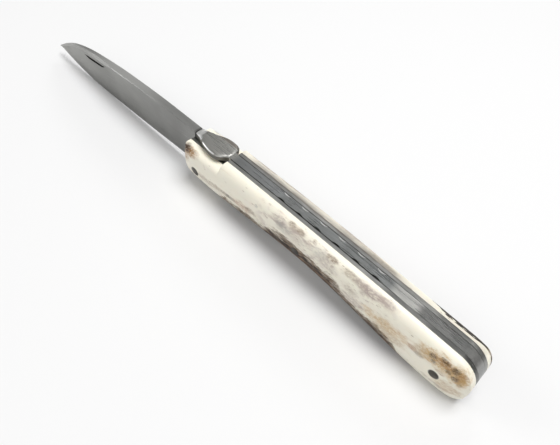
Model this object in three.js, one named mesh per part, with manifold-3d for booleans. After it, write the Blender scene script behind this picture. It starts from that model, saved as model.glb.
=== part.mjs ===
// Folding pocket knife with a back spring that ends in a wide thumb leaf, drawn with the blade open.
// Millimetres, +Z up. +X points to the butt and the blade tip is at -X. The knife stands on the belly
// of its handle and of its blade, with the back of the handle up.
//
// While it is built, x = 0 is the front end of the scales, y = 0 is the mid plane and z = 0 is the
// crown of the back, so a depth below the back is a negative z. The last step moves the origin to the
// bottom centre of the whole knife.

import * as THREE from 'three';
import { mergeVertices } from 'three/addons/utils/BufferGeometryUtils.js';
import Module from 'manifold-3d';

const wasm = await Module();
wasm.setup();

// Driving dimensions of the handle
const handleLength = 120;
const standHeight = 20.1;
const backCrownX = 26;
const backRadius = 2080;
const frontDepth = 17.1;
const frontDepthX = 12;
const waistDepth = 14.3;
const waistShare = 0.475;
const bellyFrontSlope = 0.04;
const restSetback = 8;
const restFlatLength = 5;
const frontCornerRadius = 3.2;
const buttTopRadius = 8;
const buttBottomRadius = 4.2;

// Driving dimensions of the layers, from the mid plane outwards
const springWidth = 3.6;
const linerThickness = 1.5;
const scaleThickness = 4.2;
const scaleSquareness = 2.6;
const scaleEdgeFlat = 0.12;
const scaleFrontTaperDepth = 0.7;
const scaleFrontTaperLength = 7;
const scaleButtTaperDepth = 1.9;
const scaleButtTaperLength = 9;

// Driving dimensions of the recess in the back that the leaf lies over
const recessDepth = 3.1;
const recessRampLength = 0.9;
const recessRearGap = 1.1;

// Driving dimensions of the blade
const bladeThickness = 3.1;
const bladeReach = 91;
const spineDepth = 0.9;
const tipDepth = 16;
const heelDepth = 18;
const heelReach = 6;
const ricassoReach = 1.5;
const bladeBellyReach = 66;
const spineFullReach = 47;
const heelRiseLength = 3;
const plungeLength = 5;
const grindBelly = 0.1;
const edgeThickness = 0.3;
const tipThickness = 0.9;
const tipBluntness = 0.6;
const tipRisePower = 1.6;
const shoulderX = 0.3;
const tangOverlap = 2;
const tangRadius = 7.5;
const tangBottomDepth = 16.6;
const nickLength = 11;
const nickDepth = 0.7;
const nickWidth = 1.0;
const nickCentreReach = 62;
const nickBelowSpineDepth = 2.9;

// Driving dimensions of the back spring, its leaf and its lock tooth
const springFrontDepth = 3.9;
const springRearDepth = 4.6;
const splitSetback = 32;
const tailLength = 14.8;
const leafRearX = 17.6;
const leafHalfWidth = 4.8;
const leafThickness = 2.2;
const leafUnderBevelWidth = 0.4;
const leafRimBevelWidth = 0.8;
const leafRimBevelDepth = 0.6;
const leafCrownWidth = 0.8;
const leafCrownHeight = 0.2;
const noseSetback = 0.3;
const toothX = 3.2;
const toothWidth = 2.6;
const toothDepth = 1.9;
const scallopCount = 6;
const scallopPitch = 7.75;
const scallopRearGap = 7.05;
const scallopRadius = 3.0;
const scallopDepth = 0.5;
const scallopCutLength = 3.0;

// Driving dimensions of the pins
const pivotX = 6.5;
const pivotDepth = 11.9;
const pivotRadius = 1.6;
const rearPinSetback = 10.2;
const rearPinDepth = 11.7;
const rearPinRadius = 1.5;
const rivetShare = 0.46;
const rivetDepth = 9.5;
const rivetRadius = 1.5;
const springPinSetback = 27;
const springPinRadius = 1.0;
const pinProud = 0.05;

// Named clearances
const pinClearance = 0.06;
const bladeNoseGap = 0.35;
const armSideClearance = 0.05;
const splitGap = 0.3;
const toothClearance = 0.25;
const hiddenPinInset = 0.1;

// Fineness of the facets
const handleStations = 38;
const stationCrowding = 0.6;
const stationMerge = 0.5;
const sectionPoints = 13;
const endHeight = 0.5;
const bladeStations = 34;
const bladeCrowding = 1.3;
const tangArcSteps = 16;
const springStep = 6;
const pinFacets = 28;
const nickFacets = 180;
const scallopFacets = 48;
const weldDistance = 0.0001;

// Sizes that follow from the ones above
const stripHalf = springWidth / 2 + linerThickness;
const linerInner = springWidth / 2;
const pivotZ = -pivotDepth;
const leafFrontX = shoulderX + bladeNoseGap;
const recessLength = leafRearX + recessRearGap - recessRampLength;
const waistX = handleLength * waistShare;
const restX = handleLength - restSetback;
const restStartX = restX - restFlatLength / 2;
const splitX = handleLength - splitSetback;
const tailFrontX = handleLength - tailLength;
const scallopLastX = splitX - scallopRearGap;
const rearPinX = handleLength - rearPinSetback;
const rivetX = handleLength * rivetShare;
const springPinX = handleLength - springPinSetback;
const tangTopZ = pivotZ + tangRadius;
const toothBottomZ = -springFrontDepth - toothDepth;
const springPinZ = backHeight(springPinX) - springRearDepth / 2;

// Curves

// Height that runs smoothly through a list of [x, z] points, sorted by x.
function smoothHeight(points) {
  const slopes = points.map((point, i) => {
    const before = points[Math.max(i - 1, 0)];
    const after = points[Math.min(i + 1, points.length - 1)];
    return (after[1] - before[1]) / (after[0] - before[0]);
  });
  return (x) => {
    let i = 0;
    while (i < points.length - 2 && x > points[i + 1][0]) i += 1;
    const [x0, z0] = points[i];
    const [x1, z1] = points[i + 1];
    const width = x1 - x0;
    const t = Math.min(Math.max((x - x0) / width, 0), 1);
    const cube = t * t * (3 - 2 * t);
    const leave = t * (1 - t) * (1 - t) * width * slopes[i];
    const arrive = t * t * (1 - t) * width * slopes[i + 1];
    return z0 + (z1 - z0) * cube + leave - arrive;
  };
}

// Share from 0 to 1 that leaves and arrives level.
function ease(t) {
  const clamped = Math.min(Math.max(t, 0), 1);
  return (1 - Math.cos(Math.PI * clamped)) / 2;
}

// How far an outline draws in at a distance from a corner of the given radius.
function cornerInset(distance, radius) {
  const reach = Math.min(Math.max(radius - distance, 0), radius);
  return radius - Math.sqrt(radius * radius - reach * reach);
}

// Back of the handle, a long arc.
function backHeight(x) {
  return Math.sqrt(backRadius * backRadius - (x - backCrownX) ** 2) - backRadius;
}

// Back of the handle with the rounded top of the butt.
function roundedBack(x) {
  return backHeight(x) - cornerInset(handleLength - x, buttTopRadius);
}

// Top edge of the scales and liners, with the recess under the leaf.
function topEdge(x) {
  const recess = recessDepth * (1 - ease((x - recessLength) / recessRampLength));
  return roundedBack(x) - recess;
}

// Belly of the handle: a front swell, a waist and a rear swell that it rests on.
function bellyEdge(x) {
  let z = -standHeight;
  if (x < frontDepthX) {
    z = -frontDepth + bellyFrontSlope * (frontDepthX - x);
  } else if (x < waistX) {
    z = -frontDepth + (frontDepth - waistDepth) * ease((x - frontDepthX) / (waistX - frontDepthX));
  } else if (x < restStartX) {
    z = -waistDepth - (standHeight - waistDepth) * ease((x - waistX) / (restStartX - waistX));
  }
  return z + cornerInset(x, frontCornerRadius) + cornerInset(handleLength - x, buttBottomRadius);
}

// Thickness of a scale, thinner towards both ends.
function scaleThicknessAt(x) {
  const front = Math.max(1 - x / scaleFrontTaperLength, 0);
  const butt = Math.max(1 - (handleLength - x) / scaleButtTaperLength, 0);
  return scaleThickness - scaleFrontTaperDepth * front * front - scaleButtTaperDepth * butt * butt;
}

// Distance of the scale's outer face from the mid plane, where a pin comes out.
function scaleFaceY(x, z) {
  const middle = (backHeight(x) + bellyEdge(x)) / 2;
  const half = (backHeight(x) - bellyEdge(x)) / 2 + scaleEdgeFlat;
  const share = Math.min(Math.abs(z - middle) / half, 1);
  const bulge = (1 - share ** scaleSquareness) ** (1 / scaleSquareness);
  return stripHalf + scaleThicknessAt(x) * bulge;
}

// Spine of the blade from the handle to the tip, as shares of its reach and of its drop.
const spineShape = [[1, 0.955], [0.945, 0.74], [0.86, 0.49], [0.73, 0.28], [0.53, 0.14], [0.26, 0.03],
  [0, 0]];
const spineHeight = smoothHeight(spineShape.map(
  ([reach, share]) => [-reach * bladeReach, -spineDepth - share * (tipDepth - spineDepth)]));

// Lower outline of the blade: tang, heel, edge, belly and the rise to the tip.
function edgeHeight(x) {
  const heelRise = -heelDepth + (heelDepth - tangBottomDepth) * ease((x + heelReach) / heelRiseLength);
  if (x > -heelReach) return heelRise;
  if (x > -bladeBellyReach) {
    const share = (-x - heelReach) / (bladeBellyReach - heelReach);
    return -heelDepth - (standHeight - heelDepth) * Math.sin((Math.PI / 2) * share);
  }
  const toTip = Math.min((-x - bladeBellyReach) / (bladeReach - bladeBellyReach), 1);
  return -standHeight + (standHeight - tipDepth) * toTip ** tipRisePower;
}

// Thickness of the blade along its spine, which narrows towards the tip.
function spineThickness(x) {
  const toTip = Math.max((-x - spineFullReach) / (bladeReach - spineFullReach), 0);
  return bladeThickness - (bladeThickness - tipThickness) * toTip;
}

// Solids

// Closed geometry through rings of points, with its faces turned outwards.
function skin(rings) {
  const count = rings[0].length;
  const positions = rings.flat().flatMap((point) => [point.x, point.y, point.z]);
  const index = [];
  for (let ring = 0; ring < rings.length - 1; ring += 1) {
    for (let i = 0; i < count; i += 1) {
      const next = (i + 1) % count;
      const a = ring * count + i;
      const b = ring * count + next;
      index.push(a, b, b + count, a, b + count, a + count);
    }
  }
  const caps = [[rings[0], 0, true], [rings[rings.length - 1], (rings.length - 1) * count, false]];
  for (const [ring, start, turned] of caps) {
    const centre = ring.reduce((sum, point) => sum.add(point), new THREE.Vector3()).divideScalar(count);
    const centreIndex = positions.length / 3;
    positions.push(centre.x, centre.y, centre.z);
    for (let i = 0; i < count; i += 1) {
      const a = start + i;
      const b = start + ((i + 1) % count);
      index.push(centreIndex, turned ? b : a, turned ? a : b);
    }
  }
  const geometry = new THREE.BufferGeometry();
  geometry.setAttribute('position', new THREE.Float32BufferAttribute(positions, 3));
  geometry.setIndex(signedVolume(positions, index) < 0 ? index.reverse() : index);
  return geometry;
}

function signedVolume(positions, index) {
  const corner = (i) => new THREE.Vector3().fromArray(positions, 3 * index[i]);
  let sum = 0;
  for (let i = 0; i < index.length; i += 3) {
    sum += corner(i).dot(corner(i + 1).cross(corner(i + 2)));
  }
  return sum / 6;
}

// Solid for adding and cutting, from a closed geometry.
function toSolid(geometry) {
  const bare = geometry.clone();
  bare.deleteAttribute('normal');
  bare.deleteAttribute('uv');
  const merged = mergeVertices(bare, weldDistance);
  return new wasm.Manifold(new wasm.Mesh({
    numProp: 3,
    vertProperties: new Float32Array(merged.attributes.position.array),
    triVerts: new Uint32Array(merged.index.array),
  }));
}

function toGeometry(solid) {
  const mesh = solid.getMesh();
  const geometry = new THREE.BufferGeometry();
  geometry.setAttribute('position', new THREE.BufferAttribute(mesh.vertProperties, 3));
  geometry.setIndex(new THREE.BufferAttribute(mesh.triVerts, 1));
  geometry.computeVertexNormals();
  return geometry;
}

// Flat plate from a side outline of [x, z] points, between two distances from the mid plane.
function sidePlate(outline, fromY, toY) {
  const shape = new THREE.Shape(outline.map(([x, z]) => new THREE.Vector2(x, z)));
  const geometry = new THREE.ExtrudeGeometry(shape, { depth: toY - fromY, bevelEnabled: false });
  geometry.rotateX(Math.PI / 2);
  geometry.translate(0, toY, 0);
  return toSolid(geometry);
}

// Pin or hole across the knife.
function crossCylinder(radius, x, z, fromY, toY) {
  const geometry = new THREE.CylinderGeometry(radius, radius, toY - fromY, pinFacets);
  geometry.translate(x, (fromY + toY) / 2, z);
  return toSolid(geometry);
}

function part(name, solid, material) {
  const mesh = new THREE.Mesh(toGeometry(solid), material);
  mesh.name = name;
  return mesh;
}

// Stations along the handle, closer together where its outline turns.
function handleStationList() {
  const marks = [0, frontCornerRadius, recessLength, recessLength + recessRampLength, tailFrontX,
    restStartX, restStartX + restFlatLength, handleLength];
  const spread = Array.from({ length: handleStations + 1 }, (_, i) => {
    const t = i / handleStations;
    return handleLength * (t - stationCrowding * Math.sin(2 * Math.PI * t) / (2 * Math.PI));
  });
  const kept = spread.filter((x) => marks.every((mark) => Math.abs(mark - x) > stationMerge));
  return [...marks, ...kept].sort((a, b) => a - b);
}

const stations = handleStationList();

// Scales

// Section of a scale at one station, as a ring of points. side is -1 or 1.
function scaleRing(x, side) {
  const low = bellyEdge(x);
  const high = Math.max(topEdge(x), low + endHeight);
  const ring = [new THREE.Vector3(x, side * stripHalf, high)];
  for (let i = 0; i < sectionPoints; i += 1) {
    const turn = (Math.PI * i) / (sectionPoints - 1);
    const z = (high + low) / 2 + ((high - low) / 2) * Math.cos(turn);
    ring.push(new THREE.Vector3(x, side * scaleFaceY(x, z), z));
  }
  ring.push(new THREE.Vector3(x, side * stripHalf, low));
  return ring;
}

const pinHoles = [
  [pivotX, -pivotDepth, pivotRadius],
  [rearPinX, -rearPinDepth, rearPinRadius],
  [rivetX, -rivetDepth, rivetRadius],
];

function drill(solid, holes) {
  const across = stripHalf + 2 * scaleThickness;
  return holes.reduce((left, [x, z, radius]) => left.subtract(
    crossCylinder(radius + pinClearance, x, z, -across, across),
  ), solid);
}

function makeScale(side) {
  return drill(toSolid(skin(stations.map((x) => scaleRing(x, side)))), pinHoles);
}

// Liners

function makeLiner(side) {
  const top = stations.map((x) => [x, topEdge(x)]);
  const bottom = stations.map((x) => [x, bellyEdge(x)]).reverse();
  const [fromY, toY] = side < 0 ? [-stripHalf, -linerInner] : [linerInner, stripHalf];
  const plate = sidePlate([...top, ...bottom], fromY, toY);
  return drill(plate, [...pinHoles, [springPinX, springPinZ, springPinRadius]]);
}

// Blade

// Section of the blade at one station: square at the tang, ground to a wedge ahead of it.
function bladeRing(x) {
  const high = spineHeight(x);
  const low = Math.min(edgeHeight(x), high - tipBluntness);
  const square = ease((x + ricassoReach + plungeLength) / plungeLength);
  const spineHalf = spineThickness(x) / 2;
  const edgeHalf = THREE.MathUtils.lerp(edgeThickness / 2, spineHalf, square);
  const middleHalf = (spineHalf + edgeHalf) / 2 + grindBelly * (1 - square);
  const middle = (high + low) / 2;
  const section = [[-spineHalf, high], [-middleHalf, middle], [-edgeHalf, low],
    [edgeHalf, low], [middleHalf, middle], [spineHalf, high]];
  return section.map(([y, z]) => new THREE.Vector3(x, y, z));
}

function makeTang() {
  const outline = [[shoulderX - tangOverlap, -tangBottomDepth], [shoulderX - tangOverlap, tangTopZ],
    [toothX - toothClearance, tangTopZ], [toothX - toothClearance, toothBottomZ - toothClearance],
    [toothX + toothWidth + toothClearance, toothBottomZ - toothClearance]];
  const firstTurn = Math.asin((toothX + toothWidth + toothClearance - pivotX) / tangRadius);
  const lastTurn = Math.PI - Math.acos((tangBottomDepth - pivotDepth) / tangRadius);
  for (let i = 0; i <= tangArcSteps; i += 1) {
    const turn = THREE.MathUtils.lerp(firstTurn, lastTurn, i / tangArcSteps);
    outline.push([pivotX + tangRadius * Math.sin(turn), pivotZ + tangRadius * Math.cos(turn)]);
  }
  return sidePlate(outline, -bladeThickness / 2, bladeThickness / 2);
}

// Cutter for the nail nick, a thin disc that dips into the photographed face near the spine.
function nickCutter() {
  const radius = (nickLength ** 2 / 4 + nickDepth ** 2) / (2 * nickDepth);
  const x = -nickCentreReach;
  const z = spineHeight(x) - nickBelowSpineDepth;
  const slope = Math.atan2(spineHeight(x + nickLength / 2) - spineHeight(x - nickLength / 2), nickLength);
  const geometry = new THREE.CylinderGeometry(radius, radius - nickWidth / 2, nickWidth, nickFacets);
  geometry.rotateX(Math.PI / 2);
  geometry.rotateY(-slope);
  const face = (spineThickness(x) / 2) * (1 - nickBelowSpineDepth / (spineHeight(x) - edgeHeight(x)));
  geometry.translate(x, -face - radius + nickDepth, z);
  return toSolid(geometry);
}

function makeBlade() {
  const xs = Array.from({ length: bladeStations + 1 }, (_, i) => {
    const t = i / bladeStations;
    return THREE.MathUtils.lerp(-bladeReach, shoulderX, t ** bladeCrowding);
  });
  const body = toSolid(skin(xs.map(bladeRing)));
  return drill(body.add(makeTang()).subtract(nickCutter()), [[pivotX, -pivotDepth, pivotRadius]]);
}

// Back spring

// Depth of the spring below the back, a little deeper towards the butt.
function springDepth(x) {
  return springFrontDepth + (springRearDepth - springFrontDepth) * ease(x / splitX);
}

function springRun(fromX, toX) {
  const steps = Math.ceil((toX - fromX) / springStep);
  return Array.from({ length: steps + 1 }, (_, i) => fromX + ((toX - fromX) * i) / steps);
}

// Half outline of the leaf from its nose to its neck, as shares of its length and half width.
const leafShape = [[0, 0.18], [0.02, 0.29], [0.07, 0.41], [0.13, 0.46], [0.17, 0.49], [0.21, 0.57],
  [0.3, 0.7], [0.41, 0.84], [0.52, 0.94], [0.66, 1], [0.79, 0.99], [0.88, 0.86], [0.94, 0.62],
  [0.98, 0.38], [1, 0.35]];

function leafRing(z, shrink) {
  const length = leafRearX - leafFrontX;
  const middleX = leafFrontX + length / 2;
  const half = leafShape.map(([reach, share]) => [leafFrontX + reach * length, share * leafHalfWidth]);
  const outline = [...half, ...half.map(([x, y]) => [x, -y]).reverse()];
  const inset = 1 - shrink / leafHalfWidth;
  return outline.map(([x, y]) => new THREE.Vector3(middleX + (x - middleX) * inset, y * inset, z));
}

function makeLeaf() {
  return toSolid(skin([
    leafRing(-leafThickness, leafUnderBevelWidth),
    leafRing(-leafThickness + leafUnderBevelWidth, 0),
    leafRing(-leafRimBevelDepth, 0),
    leafRing(0, leafRimBevelWidth),
    leafRing(leafCrownHeight, leafRimBevelWidth + leafCrownWidth),
  ]));
}

// Round file cut across one upper edge of the spring.
function scallopCutter(x, side) {
  const radius = scallopRadius;
  const geometry = new THREE.CylinderGeometry(radius, radius, scallopCutLength, scallopFacets);
  const outwards = (radius - scallopDepth) / Math.SQRT2;
  geometry.rotateX(-side * Math.PI / 4);
  geometry.translate(x, side * (springWidth / 2 - armSideClearance + outwards), backHeight(x) + outwards);
  return toSolid(geometry);
}

function makeSpringArm() {
  const half = springWidth / 2 - armSideClearance;
  const noseX = leafFrontX + noseSetback;
  const rearX = splitX - splitGap / 2;
  const top = springRun(leafRearX - leafRimBevelWidth, rearX).map((x) => [x, backHeight(x)]);
  const bottom = springRun(toothX + toothWidth, rearX).map((x) => [x, backHeight(x) - springDepth(x)]);
  const tooth = [[toothX + toothWidth, toothBottomZ], [toothX, toothBottomZ], [toothX, -springFrontDepth]];
  const nose = [[noseX, -springFrontDepth], [noseX, -leafRimBevelDepth]];
  const bar = sidePlate([...nose, ...top, ...bottom.reverse(), ...tooth], -half, half);
  let arm = bar.add(makeLeaf());
  for (let i = 0; i < scallopCount; i += 1) {
    const x = scallopLastX - i * scallopPitch;
    arm = arm.subtract(scallopCutter(x, -1)).subtract(scallopCutter(x, 1));
  }
  return arm;
}

function makeBackSpring() {
  const startX = splitX + splitGap / 2;
  const top = [...springRun(startX, handleLength - buttTopRadius), ...stations.filter(
    (x) => x > handleLength - buttTopRadius)].map((x) => [x, roundedBack(x)]);
  const under = springRun(startX, tailFrontX).map((x) => [x, backHeight(x) - springDepth(x)]).reverse();
  const tailBottom = stations.filter((x) => x >= tailFrontX).reverse().map((x) => [x, bellyEdge(x)]);
  const plate = sidePlate([...top, ...tailBottom, ...under], -linerInner, linerInner);
  const holes = [[rearPinX, -rearPinDepth, rearPinRadius], [springPinX, springPinZ, springPinRadius]];
  return drill(plate, holes);
}

// Pins

function throughPin(x, z, radius) {
  const reach = scaleFaceY(x, z) + pinProud;
  return crossCylinder(radius, x, z, -reach, reach);
}

function scaleRivet(side) {
  const outer = scaleFaceY(rivetX, -rivetDepth) + pinProud;
  const [fromY, toY] = side < 0 ? [-outer, -linerInner] : [linerInner, outer];
  return crossCylinder(rivetRadius, rivetX, -rivetDepth, fromY, toY);
}

// Materials

const steel = new THREE.MeshStandardMaterial({ color: 0x9a9b9a, roughness: 0.42, metalness: 0.9 });
const bladeSteel = new THREE.MeshStandardMaterial({ color: 0x8e8e8c, roughness: 0.38, metalness: 0.9 });
const pinSteel = new THREE.MeshStandardMaterial({ color: 0x6f706f, roughness: 0.45, metalness: 0.85 });
const antler = new THREE.MeshStandardMaterial({ color: 0xe9e2d2, roughness: 0.55, metalness: 0 });

const knife = new THREE.Group();
knife.add(
  part('blade', makeBlade(), bladeSteel),
  part('spring_arm', makeSpringArm(), steel),
  part('back_spring', makeBackSpring(), steel),
  part('left_liner', makeLiner(-1), steel),
  part('right_liner', makeLiner(1), steel),
  part('left_scale', makeScale(-1), antler),
  part('right_scale', makeScale(1), antler),
  part('pivot_pin', throughPin(pivotX, pivotZ, pivotRadius), pinSteel),
  part('rear_pin', throughPin(rearPinX, -rearPinDepth, rearPinRadius), pinSteel),
  part('spring_pin', crossCylinder(springPinRadius, springPinX, springPinZ, hiddenPinInset - stripHalf,
    stripHalf - hiddenPinInset), pinSteel),
  part('left_scale_rivet', scaleRivet(-1), pinSteel),
  part('right_scale_rivet', scaleRivet(1), pinSteel),
);

// The origin goes to the bottom centre of the knife as it stands.
const bounds = new THREE.Box3().setFromObject(knife);
const centre = bounds.getCenter(new THREE.Vector3());
knife.position.set(-centre.x, -centre.y, -bounds.min.z);

const model = new THREE.Group();
model.add(knife);

export default model;
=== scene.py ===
"""Looks of a folding pocket knife with antler scales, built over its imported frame.

Sizes are in millimetres, measured on the knife: x from the front end of the scales to the butt, y from
the mid plane to the right scale, z up from the crown of the back. place() turns them into the row frame.
"""
import logging
import math
from dataclasses import dataclass, replace
from enum import Enum
from typing import Callable, Sequence

import bmesh
import bpy
import numpy as np
from mathutils import Matrix, Vector


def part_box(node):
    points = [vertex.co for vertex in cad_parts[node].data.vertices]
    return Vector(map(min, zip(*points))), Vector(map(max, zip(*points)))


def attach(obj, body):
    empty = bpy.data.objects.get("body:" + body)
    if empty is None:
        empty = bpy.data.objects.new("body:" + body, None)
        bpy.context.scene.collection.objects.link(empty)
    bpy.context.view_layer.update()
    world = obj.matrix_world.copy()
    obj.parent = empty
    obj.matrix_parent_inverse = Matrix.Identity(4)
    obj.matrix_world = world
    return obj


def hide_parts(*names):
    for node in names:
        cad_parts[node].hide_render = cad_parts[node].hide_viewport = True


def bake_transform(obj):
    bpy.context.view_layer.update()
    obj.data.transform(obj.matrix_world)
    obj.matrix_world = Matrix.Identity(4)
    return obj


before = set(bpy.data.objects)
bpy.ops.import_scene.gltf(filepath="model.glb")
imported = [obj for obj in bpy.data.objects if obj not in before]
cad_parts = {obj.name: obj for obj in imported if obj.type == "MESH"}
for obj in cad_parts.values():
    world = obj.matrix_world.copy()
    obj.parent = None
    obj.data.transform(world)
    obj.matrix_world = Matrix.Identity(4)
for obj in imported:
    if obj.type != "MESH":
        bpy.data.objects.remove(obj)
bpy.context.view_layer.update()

log = logging.getLogger("knife")

Point = tuple[float, float, float]
Outline = list[tuple[float, float]]
Colour = tuple[float, float, float]
Piece = bpy.types.Object
Material = bpy.types.Material
Node = bpy.types.Node
Socket = bpy.types.NodeSocket
Tree = bpy.types.NodeTree

MM = 0.001
FRONT_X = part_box("left_scale")[0].x
CROWN_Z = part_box("left_scale")[1].z


class Side(Enum):
    """Side of the knife, seen with the back up and the blade pointing away."""

    LEFT = -1
    RIGHT = 1


class Body(Enum):
    """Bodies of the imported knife."""

    HANDLE = "handle"
    BLADE = "blade"
    LOCK_SPRING = "lock_spring"


def place(x: float, y: float, z: float) -> Vector:
    """Point of the row frame, in metres, of a place on the knife, in mm."""
    return Vector((FRONT_X + x * MM, y * MM, CROWN_Z + z * MM))


def knife_place(x: float, y: float, z: float) -> Point:
    """Place on the knife, in mm, of a point of the row frame."""
    return (x - FRONT_X) / MM, y / MM, (z - CROWN_Z) / MM


# Curves


def ease(share: float) -> float:
    """Share from 0 to 1 that leaves and arrives level."""
    return (1 - math.cos(math.pi * min(max(share, 0.0), 1.0))) / 2


def lerp(start: float, end: float, share: float) -> float:
    """Value between start and end at a share from 0 to 1."""
    return start + (end - start) * share


def corner_inset(distance: float, radius: float) -> float:
    """How far an outline draws in at a distance from a rounded corner.

    Args:
        distance: Distance from the end of the outline, in mm.
        radius: Radius of the corner, in mm.

    Returns:
        The inset in mm.
    """
    reach = min(max(radius - distance, 0.0), radius)
    return radius - math.sqrt(radius * radius - reach * reach)


def arc_steps(radius: float, count: int) -> list[float]:
    """Distances from the end of a rounded corner that divide its quarter circle evenly."""
    return [radius * (1 - math.cos(math.pi / 2 * i / count)) for i in range(count + 1)]


def smooth_height(points: Sequence[tuple[float, float]]) -> Callable[[float], float]:
    """Height that runs smoothly through points.

    Args:
        points: Pairs of x and z, sorted by x.

    Returns:
        A function from x to z.
    """
    last = len(points) - 1
    slopes = []
    for i in range(len(points)):
        before, after = points[max(i - 1, 0)], points[min(i + 1, last)]
        slopes.append((after[1] - before[1]) / (after[0] - before[0]))

    def height(x: float) -> float:
        """Height at x."""
        i = 0
        while i < last - 1 and x > points[i + 1][0]:
            i += 1
        (x0, z0), (x1, z1) = points[i], points[i + 1]
        width = x1 - x0
        t = min(max((x - x0) / width, 0.0), 1.0)
        cube = t * t * (3 - 2 * t)
        leave = t * (1 - t) * (1 - t) * width * slopes[i]
        arrive = t * t * (1 - t) * width * slopes[i + 1]
        return z0 + (z1 - z0) * cube + leave - arrive

    return height


def round_corners(points: Sequence[tuple[float, float]], passes: int = 2) -> Outline:
    """Open line with its corners cut round, ends kept.

    Args:
        points: Points of the line.
        passes: How often the corners are cut.

    Returns:
        The finer line.
    """
    line = list(points)
    for _ in range(passes):
        cut = [line[0]]
        for (ax, az), (bx, bz) in zip(line, line[1:]):
            cut.append((lerp(ax, bx, 0.25), lerp(az, bz, 0.25)))
            cut.append((lerp(ax, bx, 0.75), lerp(az, bz, 0.75)))
        line = [*cut, line[-1]]
    return line


@dataclass(frozen=True)
class HandleLines:
    """Side outline and thickness of the handle, in mm."""

    length: float = 120.0
    stand_height: float = 20.1
    back_crown_x: float = 26.0
    back_radius: float = 2080.0
    front_depth: float = 17.1
    front_depth_x: float = 12.0
    front_slope: float = 0.04
    waist_depth: float = 14.3
    waist_x: float = 57.0
    rest_start_x: float = 109.5
    front_corner: float = 3.2
    butt_top: float = 8.0
    butt_bottom: float = 4.2
    recess_depth: float = 3.1
    recess_length: float = 17.8
    recess_ramp: float = 0.9
    spring_half: float = 1.8
    strip_half: float = 3.3
    scale_thickness: float = 4.2
    squareness: float = 2.6
    edge_flat: float = 0.12
    front_taper: float = 0.7
    front_taper_length: float = 7.0
    butt_taper: float = 1.9
    butt_taper_length: float = 9.0
    recess_round: float = 1.7
    front_round: float = 1.3
    polished_x: float = 96.0
    recess_steps: int = 8
    front_steps: int = 10
    butt_steps: int = 22

    def back(self, x: float) -> float:
        """Height of the back, a long arc."""
        return math.sqrt(self.back_radius ** 2 - (x - self.back_crown_x) ** 2) - self.back_radius

    def rounded_back(self, x: float) -> float:
        """Height of the back with the round top of the butt."""
        return self.back(x) - corner_inset(self.length - x, self.butt_top)

    def top(self, x: float) -> float:
        """Top edge of the scales and liners, with the recess that the leaf lies over."""
        recess = self.recess_depth * (1 - ease((x - self.recess_length) / self.recess_ramp))
        return self.rounded_back(x) - recess

    def belly(self, x: float) -> float:
        """Height of the belly, which the knife stands on near the butt."""
        z = -self.stand_height
        if x < self.front_depth_x:
            z = -self.front_depth + self.front_slope * (self.front_depth_x - x)
        elif x < self.waist_x:
            share = (x - self.front_depth_x) / (self.waist_x - self.front_depth_x)
            z = -self.front_depth + (self.front_depth - self.waist_depth) * ease(share)
        elif x < self.rest_start_x:
            share = (x - self.waist_x) / (self.rest_start_x - self.waist_x)
            z = -self.waist_depth - (self.stand_height - self.waist_depth) * ease(share)
        return z + corner_inset(x, self.front_corner) + corner_inset(self.length - x, self.butt_bottom)

    def thickness(self, x: float) -> float:
        """Thickness of a scale, thinner towards both ends."""
        front = max(1 - x / self.front_taper_length, 0.0)
        butt = max(1 - (self.length - x) / self.butt_taper_length, 0.0)
        return self.scale_thickness - self.front_taper * front ** 2 - self.butt_taper * butt ** 2

    def worn_inset(self, x: float, z: float) -> float:
        """How far a scale's face is worn back at its front end and along the recess."""
        recess = self.recess_round * (1 - ease((x - self.recess_length) / self.recess_ramp))
        worn = corner_inset(x, self.front_round)
        return max(worn, corner_inset(self.top(x) - z, recess)) if recess > 0.01 else worn

    def share(self, x: float, z: float) -> float:
        """Height on the scale, from -1 at the belly to 1 at the back."""
        middle = (self.back(x) + self.belly(x)) / 2
        half = (self.back(x) - self.belly(x)) / 2 + self.edge_flat
        return (z - middle) / half

    def face(self, x: float, z: float) -> float:
        """Distance of the scale's outer face from the mid plane."""
        share = min(abs(self.share(x, z)), 1.0)
        bulge = (1 - share ** self.squareness) ** (1 / self.squareness)
        return self.strip_half + self.thickness(x) * bulge

    def face_share(self, x: float, y: float, z: float) -> float:
        """How far out a point of a scale lies, from 0 beside the liner to 1 on the outer face."""
        full = self.face(x, z) - self.strip_half
        return min((abs(y) - self.strip_half) / full, 1.0) if full > 0.4 else 1.0

    def stations(self, step: float) -> list[float]:
        """Places along the handle, closer together at its round ends and at the recess.

        Args:
            step: Distance between the stations in the middle, in mm.

        Returns:
            The places, sorted.
        """
        ramp = [self.recess_ramp * i / self.recess_steps for i in range(self.recess_steps + 1)]
        marks = {0.0, self.length, *(self.recess_length + x for x in ramp)}
        marks |= set(arc_steps(self.front_corner, self.front_steps))
        marks |= {self.length - x for x in arc_steps(self.butt_top, self.butt_steps)}
        count = int(self.length / step)
        spread = [self.length * i / count for i in range(count + 1)]
        kept = [x for x in spread if all(abs(x - mark) > step / 3 for mark in marks)]
        return sorted({round(x, 6) for x in [*marks, *kept]})


LINES = HandleLines()


@dataclass(frozen=True)
class PinSeat:
    """Place and radius of one pin, in mm."""

    name: str
    x: float
    depth: float
    radius: float


PIVOT = PinSeat("pivot_pin", 6.5, 11.9, 1.6)
REAR = PinSeat("rear_pin", 109.8, 11.7, 1.5)
RIVET = PinSeat("scale_rivet", 55.2, 9.5, 1.5)
SHOWN_PINS = (PIVOT, REAR, RIVET)


# Meshes


def link_mesh(name: str, mesh: bpy.types.Mesh) -> Piece:
    """New object of that name in the scene, at the origin."""
    made = bpy.data.objects.new(name, mesh)
    bpy.context.scene.collection.objects.link(made)
    return made


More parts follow.
